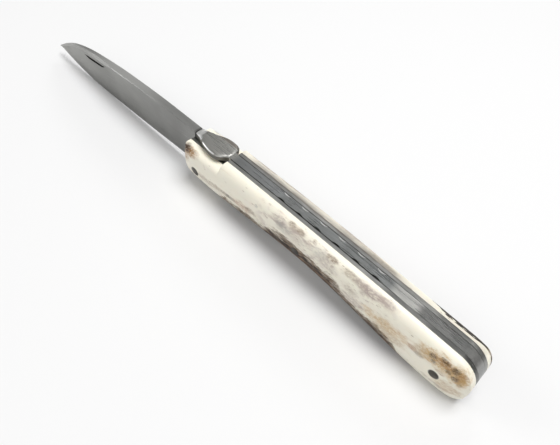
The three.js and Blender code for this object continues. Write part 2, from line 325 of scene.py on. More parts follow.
def object_from_bmesh(name: str, shape: bmesh.types.BMesh) -> Piece:
    """New object from a closed shape, its doubles merged and its faces turned outwards.

    Args:
        name: Name of the object.
        shape: Shape in the row frame. It is freed.

    Returns:
        The object.
    """
    bmesh.ops.remove_doubles(shape, verts=shape.verts, dist=1e-7)
    bmesh.ops.recalc_face_normals(shape, faces=shape.faces)
    mesh = bpy.data.meshes.new(name)
    shape.to_mesh(mesh)
    shape.free()
    return link_mesh(name, mesh)


def loft(name: str, rings: Sequence[Sequence[Point]]) -> Piece:
    """Closed skin through rings of points.

    Args:
        name: Name of the object.
        rings: Rings of equal length, in mm on the knife.

    Returns:
        The object.
    """
    shape = bmesh.new()
    rows = [[shape.verts.new(place(*point)) for point in ring] for ring in rings]
    count = len(rows[0])
    for low, high in zip(rows, rows[1:]):
        for i in range(count):
            j = (i + 1) % count
            shape.faces.new((low[i], low[j], high[j], high[i]))
    shape.faces.new(rows[0])
    shape.faces.new(list(reversed(rows[-1])))
    return object_from_bmesh(name, shape)


def plate(name: str, outline: Outline, from_y: float, to_y: float, slices: Sequence[float] = ()) -> Piece:
    """Flat plate from a side outline.

    Args:
        name: Name of the object.
        outline: Points of x and z, in mm on the knife.
        from_y: One face, in mm from the mid plane.
        to_y: The other face, in mm from the mid plane.
        slices: Places along x where the plate gets points.

    Returns:
        The object.
    """
    shape = bmesh.new()
    near = [shape.verts.new(place(x, from_y, z)) for x, z in outline]
    far = [shape.verts.new(place(x, to_y, z)) for x, z in outline]
    count = len(outline)
    for i in range(count):
        j = (i + 1) % count
        shape.faces.new((near[i], near[j], far[j], far[i]))
    shape.faces.new(near)
    shape.faces.new(list(reversed(far)))
    for x in slices:
        everything = [*shape.verts, *shape.edges, *shape.faces]
        bmesh.ops.bisect_plane(shape, geom=everything, dist=1e-7, plane_co=place(x, 0, 0), plane_no=(1, 0, 0))
    return object_from_bmesh(name, shape)


def settle(piece: Piece) -> Piece:
    """Turns a piece with modifiers into a plain mesh."""
    bpy.context.view_layer.update()
    graph = bpy.context.evaluated_depsgraph_get()
    mesh = bpy.data.meshes.new_from_object(piece.evaluated_get(graph), depsgraph=graph)
    mesh.name = piece.name
    piece.modifiers.clear()
    piece.data = mesh
    return piece


def bevel_edges(piece: Piece, width: float, angle: float) -> Piece:
    """Breaks the sharp edges of a piece with a flat bevel.

    Args:
        piece: The piece, which becomes a plain mesh again.
        width: Width of the bevel, in mm.
        angle: Edges sharper than this are broken, in degrees.

    Returns:
        The piece.
    """
    bevel = piece.modifiers.new("broken_edges", "BEVEL")
    bevel.width = width * MM
    bevel.segments = 1
    bevel.limit_method = "ANGLE"
    bevel.angle_limit = math.radians(angle)
    bevel.use_clamp_overlap = True
    return settle(piece)


def smooth_faces(piece: Piece, angle: float) -> None:
    """Shades a piece smooth but for edges sharper than an angle in degrees."""
    piece.data.shade_smooth()
    piece.data.set_sharp_from_angle(angle=math.radians(angle))


def store(mesh: bpy.types.Mesh, name: str, values: Sequence[float], domain: str = "POINT") -> None:
    """Keeps values in a mesh under a name."""
    kept = mesh.attributes.get(name) or mesh.attributes.new(name, "FLOAT", domain)
    kept.data.foreach_set("value", np.array(values, np.float32))


def paint_share(piece: Piece, name: str, value: Callable[[float, float, float], float]) -> None:
    """Stores a value at each point of a piece for its material.

    Args:
        piece: The piece, a plain mesh.
        name: Name of the attribute.
        value: Function of the place on the knife, in mm.
    """
    mesh = piece.data
    places = np.empty(len(mesh.vertices) * 3, np.float32)
    mesh.vertices.foreach_get("co", places)
    places = places.reshape(-1, 3)
    store(mesh, name, [value(*knife_place(*point)) for point in places.tolist()])


def paint_faces(piece: Piece, name: str, value: Callable[[Point, Point], float]) -> None:
    """Stores a value on each face of a piece for its material.

    Args:
        piece: The piece, a plain mesh.
        name: Name of the attribute.
        value: Function of the face's centre, in mm on the knife, and of its normal.
    """
    values = [value(knife_place(*face.center), tuple(face.normal)) for face in piece.data.polygons]
    store(piece.data, name, values, "FACE")


# Node trees


class Wiring:
    """Adds nodes to one tree and joins them as they are named."""

    def __init__(self, tree: Tree) -> None:
        """Works on that tree."""
        self.tree = tree

    def feed(self, socket: Socket, value: object) -> None:
        """Joins a socket or a node's first output to an input, or sets the input's value."""
        if isinstance(value, Node):
            value = value.outputs[0]
        if isinstance(value, Socket):
            self.tree.links.new(value, socket)
        else:
            socket.default_value = value

    def fill(self, node: Node, **named: object) -> None:
        """Gives inputs of a node what they get by name, with _ for a space."""
        for key, value in named.items():
            self.feed(node.inputs[key.replace("_", " ")], value)

    def node(self, kind: str, *values: object, settings: dict | None = None, **named: object) -> Node:
        """Adds a node.

        Args:
            kind: Type name of the node.
            values: What its first inputs get, in order.
            settings: Properties of the node.
            named: What inputs get by name, with _ for a space.

        Returns:
            The node.
        """
        made = self.tree.nodes.new(kind)
        for key, value in (settings or {}).items():
            setattr(made, key, value)
        for socket, value in zip(made.inputs, values):
            self.feed(socket, value)
        self.fill(made, **named)
        return made

    def math(self, operation: str, *values: object) -> Socket:
        """Result of a math node on one or two values."""
        return self.node("ShaderNodeMath", *values, settings={"operation": operation}).outputs[0]

    def times(self, first: object, *others: object) -> Socket:
        """Product of two or more values."""
        for other in others:
            first = self.math("MULTIPLY", first, other)
        return first

    def plus(self, first: object, second: object) -> Socket:
        """Sum of two values."""
        return self.math("ADD", first, second)

    def minus(self, first: object, second: object) -> Socket:
        """First value less the second."""
        return self.math("SUBTRACT", first, second)

    def largest(self, first: object, *others: object) -> Socket:
        """Largest of two or more values."""
        for other in others:
            first = self.math("MAXIMUM", first, other)
        return first

    def vector(self, operation: str, *values: object, **named: object) -> Socket:
        """Result of a vector math node."""
        made = self.node("ShaderNodeVectorMath", *values, settings={"operation": operation}, **named)
        return made.outputs["Value" if operation in ("LENGTH", "DISTANCE", "DOT_PRODUCT") else "Vector"]

    def span(self, value: object, low: float, high: float, start: float = 0.0, end: float = 1.0) -> Socket:
        """Value that goes smoothly from start to end while another goes from low to high."""
        made = self.node("ShaderNodeMapRange", value, low, high, start, end)
        made.interpolation_type = "SMOOTHSTEP"
        return made.outputs[0]

    def mix(self, share: object, first: object, second: object, blend: str = "MIX") -> Socket:
        """Colour between two colours."""
        made = self.node("ShaderNodeMix", settings={"data_type": "RGBA", "blend_type": blend})
        self.feed(made.inputs[0], share)
        for socket, value in ((made.inputs[6], first), (made.inputs[7], second)):
            self.feed(socket, (*value, 1.0) if isinstance(value, tuple) and len(value) == 3 else value)
        return made.outputs[2]

    def noise(self, place_socket: object, scale: float, detail: float = 3.0, rough: float = 0.55,
              seed: float = 0.0, distortion: float = 0.0, drawn: Point | None = None) -> Socket:
        """Noise from 0 to 1 at a place.

        Args:
            place_socket: The place.
            scale: Fineness of the noise.
            detail: Number of finer layers in it.
            rough: Strength of the finer layers.
            seed: A different noise for each value.
            distortion: How far it is pulled about.
            drawn: Scale of each axis, which draws the pattern out along the small ones.

        Returns:
            The noise.
        """
        if drawn:
            place_socket = self.vector("MULTIPLY", place_socket, drawn)
        made = self.node("ShaderNodeTexNoise", settings={"noise_dimensions": "4D"}, Vector=place_socket,
                         W=seed, Scale=scale, Detail=detail, Roughness=rough, Distortion=distortion)
        return made.outputs[0]

    def group(self, tree: Tree, **named: object) -> tuple[Socket, ...]:
        """Outputs of a node group whose inputs get values by name, with _ for a space."""
        return tuple(self.node("ShaderNodeGroup", settings={"node_tree": tree}, **named).outputs)

    def parts(self, place_socket: object) -> tuple[Socket, ...]:
        """The x, y and z of a place."""
        return tuple(self.node("ShaderNodeSeparateXYZ", place_socket).outputs)


def make_group(name: str, vectors: Sequence[str], values: Sequence[str],
               outputs: Sequence[str]) -> tuple[Wiring, dict, Callable]:
    """Starts a shader node group.

    Args:
        name: Name of the group.
        vectors: Names of its vector inputs.
        values: Names of its inputs that are single values.
        outputs: Names of its outputs, which are single values.

    Returns:
        The wiring, the inputs as sockets by name, and a function that joins a value to a named output.
    """
    tree = bpy.data.node_groups.new(name, "ShaderNodeTree")
    for labels, kind, way in ((vectors, "NodeSocketVector", "INPUT"), (values, "NodeSocketFloat", "INPUT"),
                              (outputs, "NodeSocketFloat", "OUTPUT")):
        for label in labels:
            tree.interface.new_socket(label, in_out=way, socket_type=kind)
    wires = Wiring(tree)
    entry, leave = wires.node("NodeGroupInput"), wires.node("NodeGroupOutput")

    def give(label: str, value: object) -> None:
        """Joins a value to an output."""
        wires.feed(leave.inputs[label], value)

    return wires, {label: entry.outputs[label] for label in (*vectors, *values)}, give


class SharedGroups:
    """Shader node groups that more than one finish uses."""

    def __init__(self) -> None:
        """Builds each group once."""
        self.satin = self._satin_lines()
        self.patch = self._ragged_patch()
        self.pores = self._antler_pores()
        self.rims = self._pin_rims()
        self.seam = self._seam_dirt_shade()

    @staticmethod
    def _satin_lines() -> Tree:
        """Fine abrasive lines, the soft clouds of a hand finish and a few skewed scratches."""
        wires, given, give = make_group("satin_lines", ("Place", "Line Stretch"), ("Cloud Scale", "Seed"),
                                        ("Lines", "Clouds", "Scratches"))
        where, seed = given["Place"], given["Seed"]
        drawn = wires.vector("MULTIPLY", where, given["Line Stretch"])
        fine = wires.noise(drawn, 1.0, 4.0, 0.7, seed)
        coarse = wires.noise(drawn, 0.32, 2.0, 0.5, wires.plus(seed, 7.3))
        give("Lines", wires.plus(wires.times(fine, 0.62), wires.times(coarse, 0.38)))
        clouds = wires.noise(where, given["Cloud Scale"], 3.0, 0.5, wires.plus(seed, 3.1))
        give("Clouds", wires.span(clouds, 0.3, 0.7))
        skew = wires.node("ShaderNodeVectorRotate", where, settings={"rotation_type": "Y_AXIS"}, Angle=0.16)
        skewed = wires.vector("MULTIPLY", skew, given["Line Stretch"])
        rare = wires.noise(skewed, 0.55, 1.0, 0.4, wires.plus(seed, 12.0))
        give("Scratches", wires.span(rare, 0.7, 0.8))
        return wires.tree

    @staticmethod
    def _ragged_patch() -> Tree:
        """Mask of an oval patch with a ragged edge and flecks in it."""
        wires, given, give = make_group("ragged_patch", ("Place", "Centre", "Reach"),
                                        ("Ragged", "Grain", "Seed"), ("Mask",))
        where, grain, seed = given["Place"], given["Grain"], given["Seed"]
        offset = wires.vector("DIVIDE", wires.vector("SUBTRACT", where, given["Centre"]), given["Reach"])
        distance = wires.vector("LENGTH", offset)
        noise = wires.noise(where, grain, 4.0, 0.65, seed, drawn=(0.42, 1.0, 1.0))
        push = wires.times(wires.minus(noise, 0.5), given["Ragged"])
        mask = wires.span(wires.plus(distance, push), 1.15, 0.4)
        fleck = wires.noise(where, wires.times(grain, 3.4), 4.0, 0.7, wires.plus(seed, 4.0),
                            drawn=(0.42, 1.0, 1.0))
        give("Mask", wires.times(mask, wires.span(fleck, 0.36, 0.6, 0.3, 1.0)))
        return wires.tree

    @staticmethod
    def _antler_pores() -> Tree:
        """Pores, short grain, slow tone changes, blots and long streaks of polished antler."""
        wires, given, give = make_group("antler_pores", ("Place",), ("Seed",),
                                        ("Pores", "Grain", "Tone", "Mottle", "Streaks"))
        where, seed = given["Place"], given["Seed"]
        drawn = wires.vector("MULTIPLY", where, (0.22, 1.0, 1.0))
        cells = wires.node("ShaderNodeTexVoronoi", settings={"voronoi_dimensions": "4D", "feature": "F1"},
                           Vector=drawn, W=seed, Scale=1.45)
        porous = wires.span(wires.noise(where, 0.3, seed=seed), 0.34, 0.56)
        give("Pores", wires.times(wires.span(cells.outputs["Distance"], 0.24, 0.08), porous))
        give("Grain", wires.noise(drawn, 2.4, 4.0, 0.6, seed))
        tone = wires.noise(where, 0.16, seed=wires.plus(seed, 5.0), drawn=(0.5, 1.0, 1.0))
        give("Tone", wires.span(tone, 0.3, 0.7))
        blot = wires.noise(where, 0.34, 5.0, 0.62, wires.plus(seed, 9.0), 0.5, drawn=(0.45, 1.0, 1.2))
        give("Mottle", wires.span(blot, 0.5, 0.66))
        long = wires.noise(where, 0.85, 5.0, 0.72, wires.plus(seed, 15.0), drawn=(0.07, 0.8, 0.8))
        give("Streaks", wires.times(wires.span(long, 0.54, 0.7), wires.span(blot, 0.42, 0.6, 0.35, 1.0)))
        return wires.tree

    @staticmethod
    def _pin_rims() -> Tree:
        """Mask of the dark line round the pins: painted shade of the gap about each pin, with dirt in it."""
        wires, given, give = make_group("pin_rims", ("Place",), ("Width",), ("Mask",))
        flat = wires.vector("MULTIPLY", given["Place"], (1.0, 0.0, 1.0))
        mask = 0.0
        for pin in SHOWN_PINS:
            centre = place(pin.x, 0, -pin.depth) / MM
            distance = wires.vector("DISTANCE", flat, (centre.x, 0.0, centre.z))
            beyond = wires.math("DIVIDE", wires.minus(distance, pin.radius), given["Width"])
            mask = wires.largest(mask, wires.span(beyond, 1.0, 0.15))
        give("Mask", mask)
        return wires.tree

    @staticmethod
    def _seam_dirt_shade() -> Tree:
        """Masks of dirt and painted shade between spring and liners, and of dirt at the right liner's outer
        edge.

        Both fade near the butt, where the back is polished.
        """
        wires, given, give = make_group("seam_grime", ("Place",), ("Width",), ("Mask", "Outer"))
        x, y, z = wires.parts(given["Place"])
        away = wires.math("ABSOLUTE", wires.minus(wires.math("ABSOLUTE", y), LINES.spring_half))
        ragged = wires.noise(given["Place"], 0.9, 3.0, 0.6, 2.0, drawn=(0.35, 1.0, 0.0))
        wide = wires.times(given["Width"], wires.span(ragged, 0.25, 0.75, 0.6, 1.3))
        line = wires.span(wires.math("DIVIDE", away, wide), 1.0, 0.35)
        start = (place(LINES.recess_length, 0, 0) / MM).x
        end = (place(LINES.polished_x, 0, 0) / MM).x
        along = wires.times(wires.span(x, start, start + 1.0), wires.span(x, end, end - 16.0, 0.12, 1.0))
        crown = place(LINES.back_crown_x, 0, 0) / MM
        square = wires.math("POWER", wires.minus(x, crown.x), 2.0)
        sag = wires.math("DIVIDE", square, 2 * LINES.back_radius)
        below = wires.minus(wires.minus(crown.z, sag), z)
        top = wires.times(wires.span(below, 0.22, 0.1), wires.span(y, -0.5, 0.5, 1.0, 0.65))
        # Dirt and painted shade in the seam between spring and liner.
        give("Mask", wires.times(line, along, top))
        spots = wires.noise(given["Place"], 0.8, 4.0, 0.65, 6.0, drawn=(0.3, 1.0, 0.0))
        reach = wires.span(spots, 0.34, 0.66, 0.35, 1.35)
        outer = wires.span(y, wires.minus(LINES.strip_half, reach), LINES.strip_half + 0.1)
        give("Outer", wires.times(outer, wires.span(x, end, end - 20.0, 0.25, 1.0)))
        return wires.tree


def new_material(name: str, preview: Colour) -> tuple[Material, Wiring, Node]:
    """Starts a material.

    Args:
        name: Name of the material.
        preview: Colour in the viewport.

    Returns:
        The material, its wiring and its Principled shader.
    """
    made = bpy.data.materials.new(name)
    made.use_nodes = True
    made.diffuse_color = (*preview, 1.0)
    tree = made.node_tree
    return made, Wiring(tree), tree.nodes["Principled BSDF"]


def place_in_mm(wires: Wiring) -> Socket:
    """Object coordinates in millimetres."""
    coordinates = wires.node("ShaderNodeTexCoord")
    return wires.vector("SCALE", coordinates.outputs["Object"], Scale=1 / MM)


def attribute(wires: Wiring, name: str) -> Socket:
    """Value that the mesh keeps under a name."""
    return wires.node("ShaderNodeAttribute", settings={"attribute_name": name}).outputs["Fac"]


def bump_normal(wires: Wiring, height: object, distance: float, strength: float = 1.0,
                below: object = None) -> Socket:
    """Normal of a fine relief.

    Args:
        wires: Wiring of the material.
        height: Height from 0 to 1.
        distance: Height in mm that 1 stands for.
        strength: Strength of the bump.
        below: Normal of a coarser relief under this one.

    Returns:
        The normal socket.
    """
    made = wires.node("ShaderNodeBump", Height=height, Strength=strength, Distance=distance * MM)
    if below is not None:
        wires.feed(made.inputs["Normal"], below)
    return made.outputs[0]


# Finishes


@dataclass(frozen=True)
class SteelFinish:
    """Satin steel with its abrasive lines, its bright parts of wear and painted highlight, and its dirt and
    painted shade.

    Its zones are places along the knife, in mm, from which the steel has another colour: painted reflections
    and shade.
    """

    name: str
    colour: Colour
    roughness: float = 0.36
    line_stretch: Point = (0.12, 4.0, 4.0)
    line_contrast: float = 0.14
    cloud_scale: float = 0.12
    cloud_depth: float = 0.1
    relief: float = 0.006
    seed: float = 0.0
    seam_width: float = 0.0
    painted_light_zones: tuple[tuple[float, Colour], ...] = ()
    painted_light_blend: float = 1.0
    # Colour of scratches, and of painted highlights on marked pieces.
    bright: Colour = (0.72, 0.72, 0.71)
    wear_and_highlight_dullness: float = 0.6
    scratch_share: float = 0.35
    # Near black of painted shade, and of the dirt in the seams.
    dirt_and_shade: Colour = (0.018, 0.017, 0.016)
    dark_roughness: float = 0.35
    rust: Colour = (0.105, 0.082, 0.065)
    rust_share: float = 0.8
    rust_dullness: float = 0.5
    marked: bool = False

    def material(self, groups: SharedGroups) -> Material:
        """Builds the material.

        Args:
            groups: The shared node groups.

        Returns:
            The material.
        """
        made, wires, shader = new_material(self.name, self.colour)
        where = place_in_mm(wires)
        lines, clouds, scratches = wires.group(
            groups.satin, Place=where, Line_Stretch=self.line_stretch, Cloud_Scale=self.cloud_scale,
            Seed=self.seed)
        tone = self.painted_light_tone(wires, where)
        light = wires.span(lines, 0.3, 0.7, 1 - self.line_contrast, 1 + self.line_contrast)
        light = wires.times(light, wires.minus(1.0, wires.times(clouds, self.cloud_depth)))
        tone = wires.mix(1.0, tone, wires.node("ShaderNodeCombineColor", light, light, light), "MULTIPLY")
        tone = wires.mix(wires.times(scratches, self.scratch_share), tone, self.bright)
        rough = wires.span(lines, 0.25, 0.75, self.roughness - 0.05, self.roughness + 0.07)
        rough = wires.plus(rough, wires.times(clouds, 0.05))
        metal, shade_and_dirt_share = 1.0, 0.0
        if self.marked:
            # Painted highlights, with real wear on the blade: lighter and less metallic.
            bright = attribute(wires, "bright_share")
            tone = wires.mix(bright, tone, self.bright)
            metal = wires.minus(1.0, wires.times(bright, self.wear_and_highlight_dullness))
            # Painted shade on marked pieces: their dark share.
            shade_and_dirt_share = attribute(wires, "grime_share")
        if self.seam_width:
            mask, outer = wires.group(groups.seam, Place=where, Width=self.seam_width)
            # The seam mask adds dirt and painted shade along the joints.
            shade_and_dirt_share = wires.largest(shade_and_dirt_share, mask)
            tone = wires.mix(wires.times(outer, self.rust_share), tone, self.rust)
            metal = wires.minus(metal, wires.times(outer, self.rust_dullness))
        if self.marked or self.seam_width:
            tone = wires.mix(shade_and_dirt_share, tone, self.dirt_and_shade)
            rough = wires.plus(rough, wires.times(shade_and_dirt_share, self.dark_roughness))
        wires.fill(shader, Base_Color=tone, Metallic=metal, Roughness=rough,
                   Normal=bump_normal(wires, lines, self.relief))
        return made

    def painted_light_tone(self, wires: Wiring, where: Socket) -> object:
        """Colour of the steel, which changes along the knife where zones paint its reflections and shade."""
        tone = (*self.colour, 1.0)
        along = wires.parts(where)[0]
        for start, colour in self.painted_light_zones:
            begin = (place(start, 0, 0) / MM).x
            tone = wires.mix(wires.span(along, begin, begin + self.painted_light_blend), tone, colour)
        return tone


@dataclass(frozen=True)
class Stain:
    """Ragged stain on a scale, in mm: its place on the knife and its reach along and across the scale."""

    x: float
    z: float
    along: float
    across: float
    colour: Colour
    strength: float = 1.0
    ragged: float = 1.3
    grain: float = 0.7


@dataclass(frozen=True)
class BarkReach:
    """Stretch of a scale, in mm along the knife, where bark is left up to a share of the scale's height."""

    start: float
    end: float
    top: float
    fade: float = 12.0


@dataclass(frozen=True)
class AntlerPlaces:
    """Sockets that say where a point of a scale lies, beside the wiring that they belong to.

    spot is its place in mm, share its height from -1 at the belly to 1 at the back, and along its distance
    from the front end of the scale in mm.
    """

    wires: Wiring
    spot: Socket
    share: Socket
    along: Socket


@dataclass(frozen=True)
class AntlerFinish:
    """Stag antler, polished to ivory near the back and left as bark low on its side."""

    name: str
    side: Side
    seed: float
    stains: tuple[Stain, ...]
    ivory: Colour = (0.97, 0.925, 0.785)
    cream: Colour = (0.955, 0.905, 0.775)
    mauve: Colour = (0.47, 0.385, 0.34)
    brown: Colour = (0.27, 0.175, 0.105)
    tan: Colour = (0.66, 0.53, 0.37)
    bark_light: Colour = (0.30, 0.20, 0.125)
    bark_brown: Colour = (0.11, 0.066, 0.04)
    bark_dark: Colour = (0.022, 0.015, 0.012)
    bark: tuple[BarkReach, ...] = (BarkReach(18.0, 74.0, -0.34), BarkReach(60.0, 98.0, -0.22, 14.0),
                                  BarkReach(80.0, 107.0, -0.7, 14.0), BarkReach(38.0, 78.0, 0.14, 26.0))
    no_bark: float = -1.3
    seam_shade: Colour = (0.23, 0.21, 0.185)
    seam_shade_to: float = 0.0
    mottle_from: float = 40.0
    mottle_to: float = 97.0
    mottle_strength: float = 0.78
    streak_strength: float = 0.45
    pore_strength: float = 0.7
    rim_width: float = 0.42
    rim_strength: float = 0.85
    ridge_height: float = 0.35
    pore_height: float = 0.05

    def material(self, groups: SharedGroups) -> Material:
        """Builds the material.

        Args:
            groups: The shared node groups.

        Returns:
            The material.
        """
        made, wires, shader = new_material(self.name, self.ivory)
        spot = place_in_mm(wires)
        pores, grain, tone, mottle, streaks = wires.group(groups.pores, Place=spot, Seed=self.seed)
        share = attribute(wires, "scale_share")
        at = AntlerPlaces(wires, spot, share, wires.minus(wires.parts(spot)[0], FRONT_X / MM))
        colour = wires.mix(tone, self.ivory, self.cream)
        colour = wires.mix(wires.times(streaks, self.streak_strength), colour, self.tan)
        colour = wires.mix(wires.times(pores, self.pore_strength), colour, self.brown)
        colour = self.add_mottle(at, mottle, colour)
        bark, dark = self.bark_masks(at)
        patchy = wires.mix(wires.span(grain, 0.4, 0.6), self.bark_brown, self.bark_light)
        outside = wires.span(attribute(wires, "face_share"), 0.66, 0.84)
        bark, dark = wires.times(bark, outside), wires.times(dark, outside)
        colour = wires.mix(bark, colour, patchy)
        for index, stain in enumerate(self.stains):
            colour = wires.mix(self.stain_mask(at, groups, stain, index), colour, stain.colour)
        colour = wires.mix(dark, colour, self.bark_dark)
        # Grey on the right scale's top beside the liner: painted shade by the joint.
        if self.seam_shade_to:
            colour = wires.mix(self.seam_shade_mask(at), colour, self.seam_shade)
        # Dark ring round each pin: painted shade of its gap, with dirt.
        rim = wires.group(groups.rims, Place=spot, Width=self.rim_width)[0]
        colour = wires.mix(wires.times(rim, self.rim_strength), colour, self.bark_dark)
        rough = wires.plus(wires.span(grain, 0.3, 0.7, 0.32, 0.42), wires.times(bark, 0.3))
        ridges = self.grown(at, (0.3, 1.0, 1.3), 1.1, 0.62, 2)
        coarse = bump_normal(wires, wires.times(ridges, bark), self.ridge_height, 0.9)
        fine = wires.minus(wires.times(grain, 0.25), pores)
        wires.fill(shader, Base_Color=colour, Roughness=rough, Specular_IOR_Level=0.4, Subsurface_Weight=0.06,
                   Subsurface_Radius=(1.0, 0.6, 0.35), Subsurface_Scale=0.6 * MM,
                   Normal=bump_normal(wires, fine, self.pore_height, 0.7, coarse))
        return made

    def grown(self, at: AntlerPlaces, drawn: Point, scale: float, rough: float, seed: int,
              detail: float = 5.0) -> Socket:
        """Noise drawn out along the antler, with a seed of its own for each of its marks."""
        return at.wires.noise(at.spot, scale, detail, rough, self.seed + seed, drawn=drawn)

    def add_mottle(self, at: AntlerPlaces, mottle: Socket, colour: Socket) -> Socket:
        """Greyish blots and thin brown streaks half way along, clear of the edges at back and belly."""
        wires = at.wires
        middle = wires.times(wires.span(at.along, self.mottle_from - 8, self.mottle_from + 8),
                             wires.span(at.along, self.mottle_to, self.mottle_to - 14))
        inside = wires.times(wires.span(wires.math("ABSOLUTE", at.share), 0.99, 0.93), middle)
        blots = wires.times(mottle, inside, self.mottle_strength)
        colour = wires.mix(blots, colour, self.mauve)
        thin = self.grown(at, (0.3, 1.0, 1.0), 0.8, 0.7, 6)
        veins = wires.times(wires.span(thin, 0.56, 0.7), inside)
        return wires.mix(wires.times(veins, self.mottle_strength), colour, self.brown)

    def bark_top(self, at: AntlerPlaces) -> Socket:
        """Share of the scale's height that the bark reaches up to, below the scale where there is none."""
        wires = at.wires
        top = self.no_bark
        for reach in self.bark:
            half = reach.fade / 2
            enter = wires.span(at.along, reach.start - half, reach.start + half)
            leave = wires.span(at.along, reach.end + half, reach.end - half)
            top = wires.largest(top, wires.span(wires.times(enter, leave), 0.0, 1.0, self.no_bark, reach.top))
        return top

    def bark_masks(self, at: AntlerPlaces) -> tuple[Socket, Socket]:
        """Masks of the bark and of its dark hollows and edge.

        Args:
            at: The places on the scale.

        Returns:
            The mask of the bark and the mask of what is darkest in it.
        """
        wires = at.wires
        top = self.bark_top(at)
        high = wires.span(top, 0.4, 0.85)
        ragged = wires.minus(1.0, wires.times(high, 0.78))
        wave = self.grown(at, (0.35, 0.8, 1.0), 0.3, 0.6, 1, 4.0)
        fray = self.grown(at, (0.3, 1.0, 1.0), 1.6, 0.7, 3)
        push = wires.plus(wires.minus(wave, 0.5), wires.times(wires.minus(fray, 0.5), 1.1))
        inside = wires.minus(top, wires.plus(at.share, wires.times(push, ragged)))
        flecks = self.grown(at, (0.25, 1.0, 1.0), 2.2, 0.7, 5)
        patchy = wires.largest(wires.span(flecks, 0.36, 0.58, 0.35, 1.0), wires.span(inside, 0.25, 0.5))
        sharp = wires.times(wires.span(inside, 0.0, 0.02), high)
        bark = wires.times(wires.largest(wires.span(inside, 0.0, 0.22), sharp), patchy)
        streaks = self.grown(at, (0.16, 0.8, 1.1), 0.9, 0.65, 4)
        deep = wires.times(wires.span(streaks, 0.4, 0.56), wires.span(inside, 0.16, 0.5))
        line = wires.times(wires.span(inside, 0.0, 0.02), wires.span(inside, 0.22, 0.1))
        return bark, wires.largest(deep, wires.times(line, high))

    def seam_shade_mask(self, at: AntlerPlaces) -> Socket:
        """Mask of the painted shade on the scale's top beside the joint with the liner."""
        wires = at.wires
        aside = wires.math("ABSOLUTE", wires.parts(at.spot)[1])
        near = wires.span(aside, LINES.strip_half + 3.0, LINES.strip_half - 0.3)
        fray = self.grown(at, (0.22, 1.0, 1.0), 0.7, 0.65, 8, 4.0)
        begin = LINES.recess_length + 3.0
        reach = wires.times(wires.span(at.along, begin, begin + 8.0, 0.35, 1.0),
                            wires.span(at.along, self.seam_shade_to, self.seam_shade_to - 10.0, 0.3, 1.0))
        high = wires.times(wires.span(at.share, 0.7, 0.85), wires.span(fray, 0.3, 0.6, 0.65, 1.0))
        return wires.times(near, reach, high)

    def stain_mask(self, at: AntlerPlaces, groups: SharedGroups, stain: Stain, index: int) -> Socket:
        """Mask of one stain, which lies on the scale's face."""
        face = self.side.value * LINES.face(stain.x, stain.z)
        oval = at.wires.group(
            groups.patch, Place=at.spot, Centre=place(stain.x, face, stain.z) / MM,
            Reach=(stain.along, stain.across, stain.across), Ragged=stain.ragged, Grain=stain.grain,
            Seed=self.seed + 20 + index)
        return at.wires.times(oval[0], stain.strength)


GOLD: Colour = (0.58, 0.36, 0.12)
AMBER: Colour = (0.36, 0.17, 0.035)
TAN: Colour = (0.56, 0.42, 0.26)
UMBER: Colour = (0.05, 0.024, 0.012)
RUST: Colour = (0.38, 0.19, 0.095)
MAUVE: Colour = (0.40, 0.32, 0.29)
SLATE: Colour = (0.43, 0.42, 0.39)
BROWN: Colour = (0.22, 0.14, 0.085)

